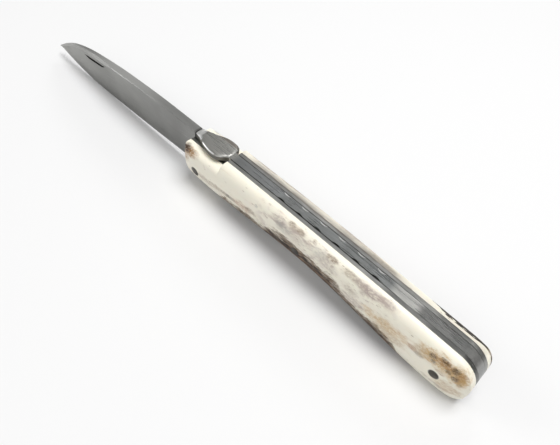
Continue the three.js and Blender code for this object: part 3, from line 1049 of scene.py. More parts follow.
LEFT_ANTLER = AntlerFinish("antler_left", Side.LEFT, 3.0, (
    Stain(0.4, -7.2, 3.4, 3.6, RUST, 0.75),
    Stain(3.6, -4.6, 4.6, 2.5, AMBER, 1.0, 1.4, 0.9),
    Stain(4.2, -3.3, 4.6, 0.9, UMBER, 0.6, 1.6, 1.4),
    Stain(1.4, -3.9, 2.6, 2.2, UMBER, 1.0, 0.7, 0.4),
    Stain(13.0, -11.4, 8.0, 1.6, BROWN, 0.5, 2.0),
    Stain(19.5, -10.2, 4.0, 1.4, BROWN, 0.7, 2.0),
    Stain(25.0, -9.8, 3.2, 1.2, UMBER, 0.8, 1.8),
    Stain(30.0, -9.2, 5.5, 2.0, RUST, 0.65, 2.0),
    Stain(35.0, -8.2, 3.4, 1.4, BROWN, 0.75, 2.0),
    Stain(36.7, -3.7, 0.9, 0.8, SLATE, 0.6),
    Stain(46.8, -2.2, 4.0, 1.8, MAUVE, 0.6),
    Stain(49.0, -3.6, 4.2, 2.0, SLATE, 0.65),
    Stain(51.2, -0.8, 2.2, 1.2, BROWN, 0.75),
    Stain(54.9, -1.0, 2.6, 1.2, BROWN, 0.7),
    Stain(54.0, -3.2, 4.5, 2.4, MAUVE, 0.45),
    Stain(60.3, -0.7, 1.2, 0.8, BROWN, 0.5),
    Stain(63.8, -2.4, 3.4, 1.8, SLATE, 0.45),
    Stain(67.9, -1.3, 2.8, 1.1, BROWN, 0.75),
    Stain(66.4, -3.8, 5.0, 2.4, MAUVE, 0.5),
    Stain(75.5, -1.7, 4.2, 1.4, BROWN, 0.6),
    Stain(82.7, -1.8, 6.5, 2.0, MAUVE, 0.85),
    Stain(88.3, -1.5, 4.5, 1.6, MAUVE, 0.7),
    Stain(77.3, -6.2, 3.2, 1.6, BROWN, 0.4, 2.4, 1.6),
    Stain(91.0, -8.4, 9.5, 2.8, GOLD, 0.75, 1.8),
    Stain(101.0, -8.0, 2.2, 1.3, RUST, 0.75),
    Stain(103.4, -8.6, 1.8, 1.1, UMBER, 0.6),
    Stain(104.5, -6.6, 5.0, 2.4, TAN, 0.75, 1.8),
    Stain(109.6, -5.4, 8.5, 3.3, GOLD, 0.9, 1.6, 0.9),
    Stain(115.2, -6.0, 3.4, 4.0, GOLD, 0.9, 1.6, 1.0),
    Stain(110.4, -4.8, 4.6, 1.5, AMBER, 0.8, 1.8, 1.4),
    Stain(115.9, -6.0, 1.7, 3.0, AMBER, 0.8, 1.6, 1.4),
    Stain(106.6, -5.0, 1.5, 1.1, UMBER, 0.8, 1.4, 1.2),
    Stain(110.4, -4.0, 1.7, 1.1, UMBER, 0.85, 1.6, 1.0),
    Stain(113.8, -4.4, 1.6, 1.3, UMBER, 0.9, 1.6, 1.0),
    Stain(114.8, -7.1, 1.4, 1.2, UMBER, 0.85, 1.6, 1.0),
    Stain(110.5, -8.8, 2.0, 1.0, AMBER, 0.5, 1.8, 1.0),
    Stain(107.6, -6.6, 1.2, 0.9, UMBER, 0.7, 1.6, 1.2),
    Stain(112.4, -6.2, 1.1, 0.9, UMBER, 0.75, 1.6, 1.2),
    Stain(116.6, -8.6, 1.0, 1.0, UMBER, 0.6, 1.6, 1.2),
    Stain(117.0, -7.4, 1.6, 3.2, GOLD, 0.7),
    Stain(112.0, -15.5, 6.0, 1.0, BROWN, 0.5, 2.0),
    Stain(115.0, -13.2, 5.5, 3.2, TAN, 0.75, 1.6),
    Stain(93.0, -11.5, 8.0, 2.2, TAN, 0.7, 1.8),
    Stain(79.0, -9.6, 6.0, 2.0, MAUVE, 0.6, 1.8),
))
RIGHT_ANTLER = AntlerFinish("antler_right", Side.RIGHT, 31.0, (
    Stain(3.4, -4.6, 3.0, 2.6, SLATE, 0.8, 0.8),
    Stain(28.0, -0.8, 8.0, 1.6, MAUVE, 0.8),
    Stain(40.0, -0.7, 5.0, 1.3, BROWN, 0.6),
    Stain(52.0, -1.2, 9.0, 1.6, MAUVE, 0.6),
    Stain(68.0, -1.0, 9.0, 1.7, MAUVE, 0.7),
    Stain(79.0, -0.6, 7.0, 1.2, BROWN, 0.6),
    Stain(72.0, -8.0, 12.0, 3.0, GOLD, 0.55, 1.8),
), bark=(BarkReach(-8.0, 128.0, 0.1), BarkReach(88.0, 150.0, 1.0, 34.0), BarkReach(-20.0, 11.0, 0.4, 22.0)),
    seam_shade_to=92.0, mottle_from=18.0, mottle_to=92.0)

# The blade's zones paint its face darker towards the heel, as shade in its reflection.
BLADE_STEEL = SteelFinish(
    "blade_steel", (0.34, 0.34, 0.325), 0.36, (0.1, 3.2, 3.2), 0.1, 0.07, 0.16, 0.003, 1.0,
    painted_light_zones=((-72.0, (0.31, 0.31, 0.297)), (-40.0, (0.27, 0.27, 0.26))), painted_light_blend=22.0,
    bright=(0.62, 0.62, 0.6), marked=True)
# The spring's zones paint light and dark bands of reflection along its back.
SPRING_STEEL = SteelFinish(
    "spring_steel", (0.6, 0.595, 0.56), 0.26, (0.14, 3.4, 3.4), 0.13, 0.1, 0.14, 0.005, 5.0, 0.38,
    painted_light_zones=((18.0, (0.37, 0.38, 0.38)), (40.0, (0.31, 0.32, 0.315)), (66.0, (0.255, 0.264, 0.26)),
           (85.0, (0.47, 0.466, 0.444)), (94.5, (0.18, 0.18, 0.174)), (106.0, (0.145, 0.147, 0.142)),
           (111.8, (0.53, 0.526, 0.506)), (116.4, (0.29, 0.294, 0.29))), painted_light_blend=3.0,
    bright=(0.85, 0.85, 0.84), marked=True)
# The liners' zones paint reflections and shade along them, darker on the left liner.
RIGHT_LINER_STEEL = SteelFinish(
    "right_liner_steel", (0.34, 0.34, 0.325), 0.32, (0.3, 2.6, 2.6), 0.18, 0.14, 0.16, 0.008, 9.0, 0.24,
    painted_light_zones=((60.0, (0.29, 0.29, 0.28)), (84.0, (0.245, 0.245, 0.235)), (99.0, (0.16, 0.16, 0.155)),
           (111.0, (0.34, 0.34, 0.325))), painted_light_blend=4.0)
LEFT_LINER_STEEL = replace(
    RIGHT_LINER_STEEL, name="left_liner_steel",
    painted_light_zones=((40.0, (0.27, 0.27, 0.26)), (84.0, (0.17, 0.17, 0.163)), (99.0, (0.106, 0.106, 0.102)),
           (111.0, (0.19, 0.19, 0.182))))
PIN_STEEL = SteelFinish("pin_steel", (0.1, 0.092, 0.08), 0.38, (2.4, 2.4, 1.0), 0.16, 0.5, 0.4, 0.006, 13.0)


# Geometry node trees


class GeometryTree:
    """Starts a geometry node tree with its mesh input and output."""

    def __init__(self, name: str, **inputs: Sequence[str]) -> None:
        """Makes the sockets.

        Args:
            name: Name of the tree.
            inputs: Names of the inputs between the mesh and the finish, by the kind of their sockets.
        """
        self.tree = bpy.data.node_groups.new(name, "GeometryNodeTree")
        kinds = {"Geometry": ("Mesh",), **inputs, "Material": ("Finish",)}
        sockets = {label: kind for kind, labels in kinds.items() for label in labels}
        for label, kind in sockets.items():
            self.tree.interface.new_socket(label, in_out="INPUT", socket_type=f"NodeSocket{kind}")
        self.tree.interface.new_socket("Mesh", in_out="OUTPUT", socket_type="NodeSocketGeometry")
        self.wires = Wiring(self.tree)
        entry = self.wires.node("NodeGroupInput")
        self.given = {label: entry.outputs[label] for label in sockets}

    def stored(self, name: str) -> Socket:
        """Value that a mesh keeps under a name."""
        made = self.wires.node("GeometryNodeInputNamedAttribute", name, settings={"data_type": "FLOAT"})
        return made.outputs["Attribute"]

    def other(self, label: str) -> Socket:
        """Mesh of the object that an input gives."""
        made = self.wires.node("GeometryNodeObjectInfo", settings={"transform_space": "RELATIVE"},
                               Object=self.given[label])
        return made.outputs["Geometry"]

    def boolean(self, operation: str, **named: object) -> Node:
        """Exact boolean of the meshes given by name."""
        how = {"operation": operation, "solver": "EXACT"}
        return self.wires.node("GeometryNodeMeshBoolean", settings=how, **named)

    def cut(self, mesh: object, tools: object) -> None:
        """Ends the tree with a mesh that the instances of some tools are cut from."""
        tools = self.wires.node("GeometryNodeRealizeInstances", tools)
        self.close(self.boolean("DIFFERENCE", Mesh_1=mesh, Mesh_2=tools))

    def close(self, mesh: object) -> None:
        """Ends the tree in Realize Instances and Set Material."""
        real = self.wires.node("GeometryNodeRealizeInstances", mesh)
        dressed = self.wires.node("GeometryNodeSetMaterial", real, Material=self.given["Finish"])
        self.wires.node("NodeGroupOutput", dressed)

    def apply(self, piece: Piece, **values: object) -> Piece:
        """Runs the tree on a piece and leaves a plain mesh.

        Args:
            piece: The piece.
            values: Value of each input by name, with _ for a space.

        Returns:
            The piece.
        """
        modifier = piece.modifiers.new(self.tree.name, "NODES")
        modifier.node_group = self.tree
        wanted = {key.replace("_", " "): value for key, value in values.items()}
        for item in self.tree.interface.items_tree:
            if item.item_type == "SOCKET" and item.in_out == "INPUT" and item.name in wanted:
                modifier[item.identifier] = wanted[item.name]
        return settle(piece)


def swell_tree() -> GeometryTree:
    """Tree that swells a flat panel into a scale with a rounded face and closes it."""
    kit = GeometryTree("scale_swell",
                       Float=("Side", "Thickness", "Squareness", "Hollow", "Hollow Scale", "Seed"))
    wires, given = kit.wires, kit.given
    share = wires.math("ABSOLUTE", kit.stored("scale_share"))
    inner = wires.minus(1.0, wires.math("POWER", share, given["Squareness"]))
    bulge = wires.math("POWER", wires.largest(inner, 0.0), wires.math("DIVIDE", 1.0, given["Squareness"]))
    full = wires.times(bulge, kit.stored("fullness"), given["Thickness"])
    spot = wires.vector("MULTIPLY", wires.node("GeometryNodeInputPosition"), (0.35, 1.0, 1.0))
    relief = wires.noise(spot, given["Hollow Scale"], detail=4.0, rough=0.6, seed=given["Seed"])
    dip = wires.times(relief, kit.stored("bark_share"), given["Hollow"])
    worn = wires.plus(dip, kit.stored("worn_inset"))
    rise = wires.times(wires.minus(full, worn), given["Side"])
    raised = wires.node("GeometryNodeExtrudeMesh", given["Mesh"], settings={"mode": "FACES"},
                        Offset_Scale=0.0, Individual=False)
    moved = wires.node("GeometryNodeSetPosition", raised.outputs["Mesh"], Selection=raised.outputs["Top"],
                       Offset=wires.node("ShaderNodeCombineXYZ", 0.0, rise, 0.0))
    inner_face = wires.node("GeometryNodeFlipFaces", given["Mesh"])
    both = wires.node("GeometryNodeJoinGeometry")
    wires.feed(both.inputs[0], moved)
    wires.feed(both.inputs[0], inner_face)
    kit.close(wires.node("GeometryNodeMergeByDistance", both, Distance=2e-6))
    return kit


def drill_tree() -> GeometryTree:
    """Tree that drills a hole across a piece at each point of another object."""
    kit = GeometryTree("cross_drill", Object=("Seats",), Float=("Length", "Clearance"))
    wires, given = kit.wires, kit.given
    rod = wires.node("GeometryNodeMeshCylinder", Vertices=56, Radius=1.0, Depth=given["Length"])
    wide = wires.plus(kit.stored("pin_radius"), given["Clearance"])
    rods = wires.node("GeometryNodeInstanceOnPoints", kit.other("Seats"), Instance=rod.outputs["Mesh"],
                      Rotation=(math.pi / 2, 0.0, 0.0),
                      Scale=wires.node("ShaderNodeCombineXYZ", wide, wide, 1.0))
    kit.cut(given["Mesh"], rods)
    return kit


def filework_tree() -> GeometryTree:
    """Tree that joins the leaf to the spring and files a row of round cuts into both upper edges."""
    kit = GeometryTree(
        "spring_filework", Object=("Leaf",), Int=("Count",), Vector=("Last Cut",),
        Float=("Pitch", "Radius", "Depth", "Left Tilt", "Right Tilt", "Half Width", "Back Radius", "Crown X",
               "Crown Z"))
    wires, given = kit.wires, kit.given
    whole = kit.boolean("UNION", Mesh_2=given["Mesh"])
    wires.fill(whole, Mesh_2=kit.other("Leaf"))
    backwards = wires.times(given["Pitch"], -1.0)
    row = wires.node("GeometryNodeMeshLine", Count=given["Count"], Start_Location=given["Last Cut"],
                     Offset=wires.node("ShaderNodeCombineXYZ", backwards, 0.0, 0.0))
    file = wires.node("GeometryNodeMeshCylinder", Vertices=72, Radius=given["Radius"], Depth=3 * MM)
    x = wires.parts(wires.node("GeometryNodeInputPosition"))[0]
    square = wires.math("POWER", wires.minus(x, given["Crown X"]), 2.0)
    radius = given["Back Radius"]
    arc = wires.math("SQRT", wires.minus(wires.times(radius, radius), square))
    back = wires.plus(wires.minus(arc, radius), given["Crown Z"])
    out = wires.minus(given["Radius"], given["Depth"])
    files = wires.node("GeometryNodeJoinGeometry")
    for side, tilt in ((Side.LEFT, given["Left Tilt"]), (Side.RIGHT, given["Right Tilt"])):
        aside = wires.times(out, wires.math("SINE", tilt))
        up = wires.times(out, wires.math("COSINE", tilt))
        across = wires.times(wires.plus(given["Half Width"], aside), float(side.value))
        spot = wires.node("ShaderNodeCombineXYZ", x, across, wires.plus(back, up))
        turn = wires.times(wires.minus(math.pi / 2, tilt), float(side.value))
        cuts = wires.node("GeometryNodeInstanceOnPoints",
                          wires.node("GeometryNodeSetPosition", row, Position=spot),
                          Instance=file.outputs["Mesh"],
                          Rotation=wires.node("ShaderNodeCombineXYZ", turn, 0.0, 0.0))
        wires.feed(files.inputs[0], cuts)
    kit.cut(whole, files)
    return kit


class Workshop:
    """Trees, groups and the helper object that the pieces share."""

    def __init__(self) -> None:
        """Builds each of them once."""
        self.groups = SharedGroups()
        self.swell = swell_tree()
        self.drill = drill_tree()
        self.filework = filework_tree()
        self.seats = self._seat_points()

    @staticmethod
    def _seat_points() -> Piece:
        """Helper object with a point on the mid plane for each pin, which keeps the pin's radius."""
        mesh = bpy.data.meshes.new("pin_seats")
        mesh.from_pydata([place(pin.x, 0, -pin.depth) for pin in SHOWN_PINS], [], [])
        store(mesh, "pin_radius", [pin.radius * MM for pin in SHOWN_PINS])
        return link_mesh("pin_seats", mesh)

    def clear(self) -> None:
        """Removes the helper object."""
        bpy.data.objects.remove(self.seats)


# Sub-assemblies


@dataclass(frozen=True)
class LockTooth:
    """Tooth under the front of the spring, in mm, which drops into the notch of the tang."""

    x: float = 3.2
    width: float = 2.6
    root: float = 3.9
    depth: float = 1.9

    @property
    def end(self) -> float:
        """Place of its rear side."""
        return self.x + self.width

    @property
    def bottom(self) -> float:
        """Depth of its lower end below the back."""
        return self.root + self.depth


TOOTH = LockTooth()


@dataclass
class Blade:
    """Blade with its tang, in mm.

    spine_shape has pairs of the share of the blade's reach and the share of the tip's depth. The two kinds of
    wear and painted highlight have the bright share near the tang and further out.
    """

    thickness: float = 3.4
    reach: float = 91.0
    spine_depth: float = 0.9
    tip_depth: float = 16.0
    stand_height: float = 20.1
    heel_depth: float = 18.0
    heel_reach: float = 6.0
    heel_rise: float = 3.0
    ricasso_reach: float = 1.5
    plunge: float = 5.0
    belly_reach: float = 66.0
    spine_full_reach: float = 47.0
    tip_rise: float = 1.6
    tip_bluntness: float = 0.6
    edge_bevel: float = 0.55
    edge_half: float = 0.03
    bevel_half: float = 0.2
    tip_half: float = 0.45
    grind_belly: float = 0.1
    grind_steps: int = 9
    ring_count: int = 150
    ring_crowding: float = 1.25
    false_edge_reach: float = 49.5
    false_edge_length: float = 3.0
    false_edge_depth: float = 0.95
    false_edge_inset: float = 0.85
    left_break: float = 0.24
    right_break: float = 0.07
    shoulder_x: float = 0.3
    tang_overlap: float = 2.0
    tang_half: float = 1.53
    tang_radius: float = 7.5
    tang_bottom: float = 16.6
    tang_facets: int = 48
    tooth_gap: float = 0.25
    nick_reach: float = 62.8
    nick_length: float = 14.0
    nick_depth: float = 0.85
    nick_width: float = 1.15
    nick_below_spine: float = 2.9
    # These shares paint highlights, with wear, on the spine and on the edges left of it.
    spine_wear_and_highlight: tuple[float, float] = (0.25, 0.6)
    edge_wear_and_highlight: tuple[float, float] = (0.1, 0.38)
    spine_shape: tuple = ((1, 0.955), (0.945, 0.74), (0.86, 0.49), (0.73, 0.28), (0.53, 0.14), (0.26, 0.03),
                          (0, 0))

    def __post_init__(self) -> None:
        """Prepares the line of the spine."""
        drop = self.tip_depth - self.spine_depth
        self.spine = smooth_height(
            [(-reach * self.reach, -self.spine_depth - low * drop) for reach, low in self.spine_shape])

    def edge(self, x: float) -> float:
        """Height of the lower outline: tang, heel, edge, belly and the rise to the tip."""
        if x > -self.heel_reach:
            rise = ease((x + self.heel_reach) / self.heel_rise)
            return -self.heel_depth + (self.heel_depth - self.tang_bottom) * rise
        if x > -self.belly_reach:
            share = (-x - self.heel_reach) / (self.belly_reach - self.heel_reach)
            return -self.heel_depth - (self.stand_height - self.heel_depth) * math.sin(math.pi / 2 * share)
        to_tip = min((-x - self.belly_reach) / (self.reach - self.belly_reach), 1.0)
        return -self.stand_height + (self.stand_height - self.tip_depth) * to_tip ** self.tip_rise

    def full_half(self, x: float) -> float:
        """Half of the spine's thickness, less towards the tip."""
        to_tip = max((-x - self.spine_full_reach) / (self.reach - self.spine_full_reach), 0.0)
        return lerp(self.thickness / 2, self.tip_half, to_tip)

    def half_section(self, x: float, inset: float, broken: float) -> list[tuple[float, float]]:
        """One side of the section: square at the tang, hollow of its edge bevel ahead of it.

        Args:
            x: Place along the blade.
            inset: How far the false edge takes the top of this side in.
            broken: Width of the broken edge behind the false edge.

        Returns:
            Pairs of the distance from the mid plane and the depth below the spine.
        """
        depth = self.spine(x) - self.low(x)
        square = ease((x + self.ricasso_reach + self.plunge) / self.plunge)
        half = self.full_half(x)
        false_share = ease((-x - self.false_edge_reach) / self.false_edge_length)
        lean = min(half / 1.2, 1.0)
        top_half = max(half - lerp(broken, inset * lean, false_share), 0.1)
        shoulder = min(lerp(broken, self.false_edge_depth, false_share), depth * 0.3)
        bevel = min(self.edge_bevel, depth * 0.2)
        points = [(top_half, 0.0), (half, shoulder)]
        for i in range(1, self.grind_steps):
            share = i / self.grind_steps
            ground = lerp(half, self.bevel_half, share) + self.grind_belly * math.sin(math.pi * share)
            points.append((lerp(ground, half, square), lerp(shoulder, depth - bevel, share)))
        points.append((lerp(self.bevel_half, half, square), depth - bevel))
        points.append((lerp(self.edge_half, half - self.right_break, square), depth))
        return points

    def low(self, x: float) -> float:
        """Height of the edge, which keeps a blunt end at the tip."""
        return min(self.edge(x), self.spine(x) - self.tip_bluntness)

    def ring(self, x: float) -> list[Point]:
        """Whole section at one place, with the false edge on its left side."""
        high = self.spine(x)
        left = self.half_section(x, self.false_edge_inset, self.left_break)
        right = self.half_section(x, self.right_break, self.right_break)
        left = [(x, -y, high - down) for y, down in left]
        right = [(x, y, high - down) for y, down in right]
        return left + right[::-1]

    def mark(self, blade: Piece) -> None:
        """Keeps where the blade is bright from wear and painted highlights, and where the nail nick is
        painted dark as patina and shade.
        """
        def bright(centre: Point, normal: Point) -> float:
            """Painted highlights with wear: most on the spine, less on the edges left of it, and 0 on the
            faces.
            """
            out = -centre[0]
            if abs(normal[1]) > 0.95 or out < 0.5 or normal[2] < 0.2:
                return 0.0
            if normal[1] < -0.2:
                return lerp(*self.edge_wear_and_highlight, ease((out - 30) / 20))
            return lerp(*self.spine_wear_and_highlight, ease((out - 8) / 30)) * lerp(1.0, 0.5, ease((out - 50) / 20))

        def face_y(x: float, z: float) -> float:
            """Half of the blade's thickness at a place on its left face."""
            section = self.half_section(x, self.false_edge_inset, self.left_break)
            return float(np.interp(self.spine(x) - z, [down for _, down in section], [y for y, _ in section]))

        def dirt_and_shade(centre: Point, _normal: Point) -> float:
            """1 on the faces inside the nail nick, painted dark as patina and as the shade in the recess."""
            x, y, z = centre
            low = self.spine(x) - z
            near = abs(x + self.nick_reach) < self.nick_length / 2 + 1
            inside = y < 0 and 1.0 < low < self.nick_below_spine + 1.5
            return 1.0 if near and inside and face_y(x, z) + y > 0.02 else 0.0

        # The nail nick is painted near black, as patina and shade.
        paint_faces(blade, "grime_share", dirt_and_shade)
        paint_faces(blade, "bright_share", bright)

    def tang_outline(self) -> Outline:
        """Side outline of the tang, with the notch for the lock tooth."""
        back_x = TOOTH.end + self.tooth_gap
        front_x = TOOTH.x - self.tooth_gap
        top_z = -PIVOT.depth + self.tang_radius
        notch_z = -TOOTH.bottom - self.tooth_gap
        start = self.shoulder_x - self.tang_overlap
        outline = [(start, -self.tang_bottom), (start, top_z),
                   (front_x, top_z), (front_x, notch_z), (back_x, notch_z)]
        first = math.asin((back_x - PIVOT.x) / self.tang_radius)
        last = math.pi - math.acos((self.tang_bottom - PIVOT.depth) / self.tang_radius)
        for i in range(self.tang_facets + 1):
            turn = lerp(first, last, i / self.tang_facets)
            outline.append((PIVOT.x + self.tang_radius * math.sin(turn),
                            -PIVOT.depth + self.tang_radius * math.cos(turn)))
        return outline

    def nick(self) -> Piece:
        """Cutter for the nail nick, a thin disc that dips into the left face near the spine."""
        radius = (self.nick_length ** 2 / 4 + self.nick_depth ** 2) / (2 * self.nick_depth)
        x = -self.nick_reach
        half_nick = self.nick_length / 2
        z = self.spine(x) - self.nick_below_spine
        slope = math.atan2(self.spine(x + half_nick) - self.spine(x - half_nick), self.nick_length)
        face = self.full_half(x) * (1 - self.nick_below_spine / (self.spine(x) - self.edge(x)))
        shape = bmesh.new()
        bmesh.ops.create_cone(shape, cap_ends=True, segments=360, radius1=(radius - self.nick_width / 2) * MM,
                              radius2=radius * MM, depth=self.nick_width * MM)
        turn = Matrix.Rotation(-slope, 4, "Y")
        shape.transform(Matrix.Translation(place(x, -face - radius + self.nick_depth, z)) @ turn)
        return object_from_bmesh("nick_cutter", shape)

    def build(self, shop: Workshop) -> Piece:
        """Makes the blade.

        Args:
            shop: The shared trees and groups.

        Returns:
            The blade, dressed and riding.
        """
        shares = [(i / self.ring_count) ** self.ring_crowding for i in range(self.ring_count + 1)]
        places = [lerp(-self.reach, self.shoulder_x, share) for share in shares]
        blade = loft("blade_with_tang", [self.ring(x) for x in places])
        tang = plate("tang", self.tang_outline(), -self.tang_half, self.tang_half)
        nick = self.nick()
        for other, operation in ((tang, "UNION"), (nick, "DIFFERENCE")):
            step = blade.modifiers.new(operation.lower(), "BOOLEAN")
            step.object, step.operation, step.solver = other, operation, "EXACT"
        settle(blade)
        for other in (tang, nick):
            bpy.data.objects.remove(other)
        smooth_faces(blade, 9)
        self.mark(blade)
        blade.data.materials.clear()
        blade.data.materials.append(BLADE_STEEL.material(shop.groups))
        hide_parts("blade")
        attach(blade, Body.BLADE.value)
        return blade


@dataclass
class BackSpring:
    """The one-piece back spring: bar, leaf, lock tooth, file cuts and tail, in mm.

    The leaf's faces are told apart by how far their normals point up: side_up ends its sides, rim_up its rim,
    slope_up the slope inside the rim, and above face_up a face is flat. The shapes of the leaf have pairs of
    the share of its length and the share of its half width.
    """

    half: float = 1.76
    rear_depth: float = 4.6
    split_x: float = 88.0
    tail_x: float = 105.2
    leaf_front: float = 0.52
    leaf_rear: float = 17.6
    leaf_half: float = 4.8
    leaf_thickness: float = 2.2
    under_bevel: float = 0.4
    rim_depth: float = 0.32
    rim_width: float = 0.42
    nose_slope: float = 2.2
    nose_droop: float = 0.7
    nose_share: float = 0.3
    right_rim: float = 0.4
    rim_bright: tuple[float, float] = (6.2, 13.2)
    rim_gap: float = 5.2
    crown_height: float = 0.2
    crown_width: float = 0.9
    nose_setback: float = 0.3
    nose_top: float = 0.75
    leaf_overlap: float = 0.8
    side_up: float = 0.25
    rim_up: float = 0.93
    slope_up: float = 0.975
    face_up: float = 0.985
    nose_up: float = 0.9998
    nose_end: float = 3.6
    # These shares paint highlights on the leaf's rim and front.
    rim_highlight: float = 0.85
    front_highlight: float = 0.5
    # These shares paint shade on the leaf and in the left file cuts.
    side_shade: float = 0.72
    notch_shade: float = 0.6
    rear_shade: float = 0.05
    right_shade: float = 0.5
    cut_shade: float = 0.97
    cut_count: int = 6
    cut_pitch: float = 7.75
    cut_last_x: float = 80.95
    cut_radius: float = 4.3
    cut_depth: float = 0.42
    left_tilt: float = 45.0
    right_tilt: float = 33.0
    first_slice: float = 2.0
    slice_step: float = 1.6
    edge_break: float = 0.1
    bend_end_x: float = 22.0
    left_front: tuple = ((0, 0.18), (0.02, 0.29), (0.07, 0.41), (0.13, 0.46), (0.17, 0.49), (0.21, 0.57),
                         (0.3, 0.7), (0.41, 0.84), (0.52, 0.94), (0.66, 1))
    right_front: tuple = ((0, 0.18), (0.02, 0.27), (0.07, 0.34), (0.13, 0.37), (0.2, 0.41), (0.3, 0.5),
                          (0.41, 0.64), (0.5, 0.8), (0.58, 0.93), (0.7, 1))
    left_rear: tuple = ((0.79, 0.96), (0.87, 0.79), (0.93, 0.54), (0.97, 0.38), (1, 0.35))
    right_rear: tuple = ((0.79, 1.0), (0.89, 0.97), (0.96, 0.82), (0.99, 0.55), (1, 0.35))

    def depth(self, x: float) -> float:
        """Depth of the spring below the back."""
        return lerp(TOOTH.root, self.rear_depth, ease(x / self.split_x))

    def bar(self) -> Piece:
        """Bar of the spring with its tooth and its tail."""
        nose_x = self.leaf_front + self.nose_setback
        top_start = self.leaf_rear - self.leaf_overlap
        stations = LINES.stations(self.slice_step)
        top = [(x, LINES.rounded_back(x)) for x in stations if x > top_start]
        bottom = [(x, LINES.belly(x)) for x in reversed(stations) if x >= self.tail_x]
        bottom.append((self.tail_x, LINES.belly(self.tail_x)))
        between = [x for x in reversed(stations) if TOOTH.end < x < self.tail_x]
        under = [(x, LINES.back(x) - self.depth(x)) for x in between]
        outline = [(nose_x, -TOOTH.root), (nose_x, -self.nose_top), (top_start, -0.02), *top, *bottom,
                   (self.tail_x, LINES.back(self.tail_x) - self.rear_depth), *under,
                   (TOOTH.end, -TOOTH.root), (TOOTH.end, -TOOTH.bottom),
                   (TOOTH.x, -TOOTH.bottom), (TOOTH.x, -TOOTH.root)]
        count = int((self.split_x + 8) / self.slice_step)
        slices = [self.first_slice + i * self.slice_step for i in range(count)]
        bar = plate("back_spring_with_leaf", outline, -self.half, self.half, slices)
        return bevel_edges(bar, self.edge_break, 50)

    def leaf_ring(self, z: float, inset: float, nose: float, droop: float = 0.0) -> list[Point]:
        """Outline of the leaf at one height.

        Args:
            z: Height, in mm.
            inset: How far the sides and the rear draw in.
            nose: How far the nose draws back.
            droop: How far the nose hangs below that height.

        Returns:
            The ring of points.
        """
        length = self.leaf_rear - self.leaf_front
        left, right = self.left_front + self.left_rear, self.right_front + self.right_rear
        ring = []
        for side, shape in ((-1, left), (1, right)):
            draw = 1 - inset * (1 if side < 0 else self.right_rim) / self.leaf_half
            line = round_corners([(reach, wide * self.leaf_half) for reach, wide in shape])
            half = []
            for reach, y in line:
                front = max(1 - reach / self.nose_share, 0.0) ** 1.5
                x = self.leaf_front + reach * length + nose * front - inset * 0.45 * reach
                half.append((x, side * y * draw, z - droop * front))
            ring += half if side < 0 else half[::-1]
        return ring

    def leaf(self) -> Piece:
        """Leaf with a sloped nose, a rim bevel that gets painted highlights, and a low crown."""
        rim, low = self.rim_width, self.nose_droop
        return loft("leaf", [
            self.leaf_ring(-self.leaf_thickness, self.under_bevel, self.under_bevel),
            self.leaf_ring(-self.leaf_thickness + self.under_bevel, 0, 0),
            self.leaf_ring(-self.rim_depth, 0, 0, low),
            self.leaf_ring(-self.rim_depth + 0.08, 0.06, 0.1, low),
            self.leaf_ring(-0.05, rim - 0.06, self.nose_slope - 0.3, 0.15),
            self.leaf_ring(0.0, rim, self.nose_slope),
            self.leaf_ring(self.crown_height * 0.75, rim + self.crown_width, self.nose_slope + 1.0),
            self.leaf_ring(self.crown_height, rim + 2 * self.crown_width, self.nose_slope + 2.4),
        ])

    def mark(self, spring: Piece) -> None:
        """Keeps where highlights are painted on the right file cuts and the leaf, and where painted shade
        darkens the steel.
        """
        places = [self.cut_last_x - self.cut_pitch * i for i in range(self.cut_count)]
        chord = math.sqrt(2 * self.cut_radius * self.cut_depth - self.cut_depth ** 2)

        def in_cut(centre: Point, normal: Point) -> bool:
            """Whether a face is the floor of a file cut."""
            near = min(abs(centre[0] - x) for x in places) < chord
            return near and abs(normal[1]) > 0.3 and normal[2] > 0.3

        def on_leaf(centre: Point) -> bool:
            """Whether a face belongs to the leaf."""
            return centre[0] < self.leaf_rear + 0.3

        def bright(centre: Point, normal: Point) -> float:
            """Painted highlights on the right cuts, two lengths of the rim on the left of the leaf, and the
            front of the leaf.
            """
            x, y, _ = centre
            if not on_leaf(centre):
                return 1.0 if in_cut(centre, normal) and y > 0 else 0.0
            in_front = x < self.rim_gap
            rim = y < 0 and self.side_up < normal[2] < self.rim_up and normal[1] < -0.25
            if rim and (in_front or self.rim_bright[0] < x < self.rim_bright[1]):
                return self.rim_highlight
            flat = self.nose_up if x < self.nose_end else self.face_up
            return self.front_highlight if in_front and self.side_up < normal[2] < flat else 0.0

        def dirt_and_shade(centre: Point, normal: Point) -> float:
            """Painted shade in the left cuts, on the leaf's side, its rear and right slopes and the notch
            behind its nose.
            """
            x, y, _ = centre
            if not on_leaf(centre):
                return self.cut_shade if in_cut(centre, normal) and y < 0 else 0.0
            slope = self.side_up < normal[2] < self.slope_up
            in_notch = self.rim_gap < x < self.rim_bright[0]
            found = [
                (self.side_shade, abs(normal[2]) < self.side_up),
                (self.notch_shade, y < -1 and normal[2] < self.rim_up and in_notch),
                (self.rear_shade, slope and y < -1 and x > self.rim_bright[1]),
                (self.right_shade, slope and y > 0.6 and x > self.rim_gap),
            ]
            return max(share if there else 0.0 for share, there in found)

        paint_faces(spring, "bright_share", bright)
        paint_faces(spring, "grime_share", dirt_and_shade)

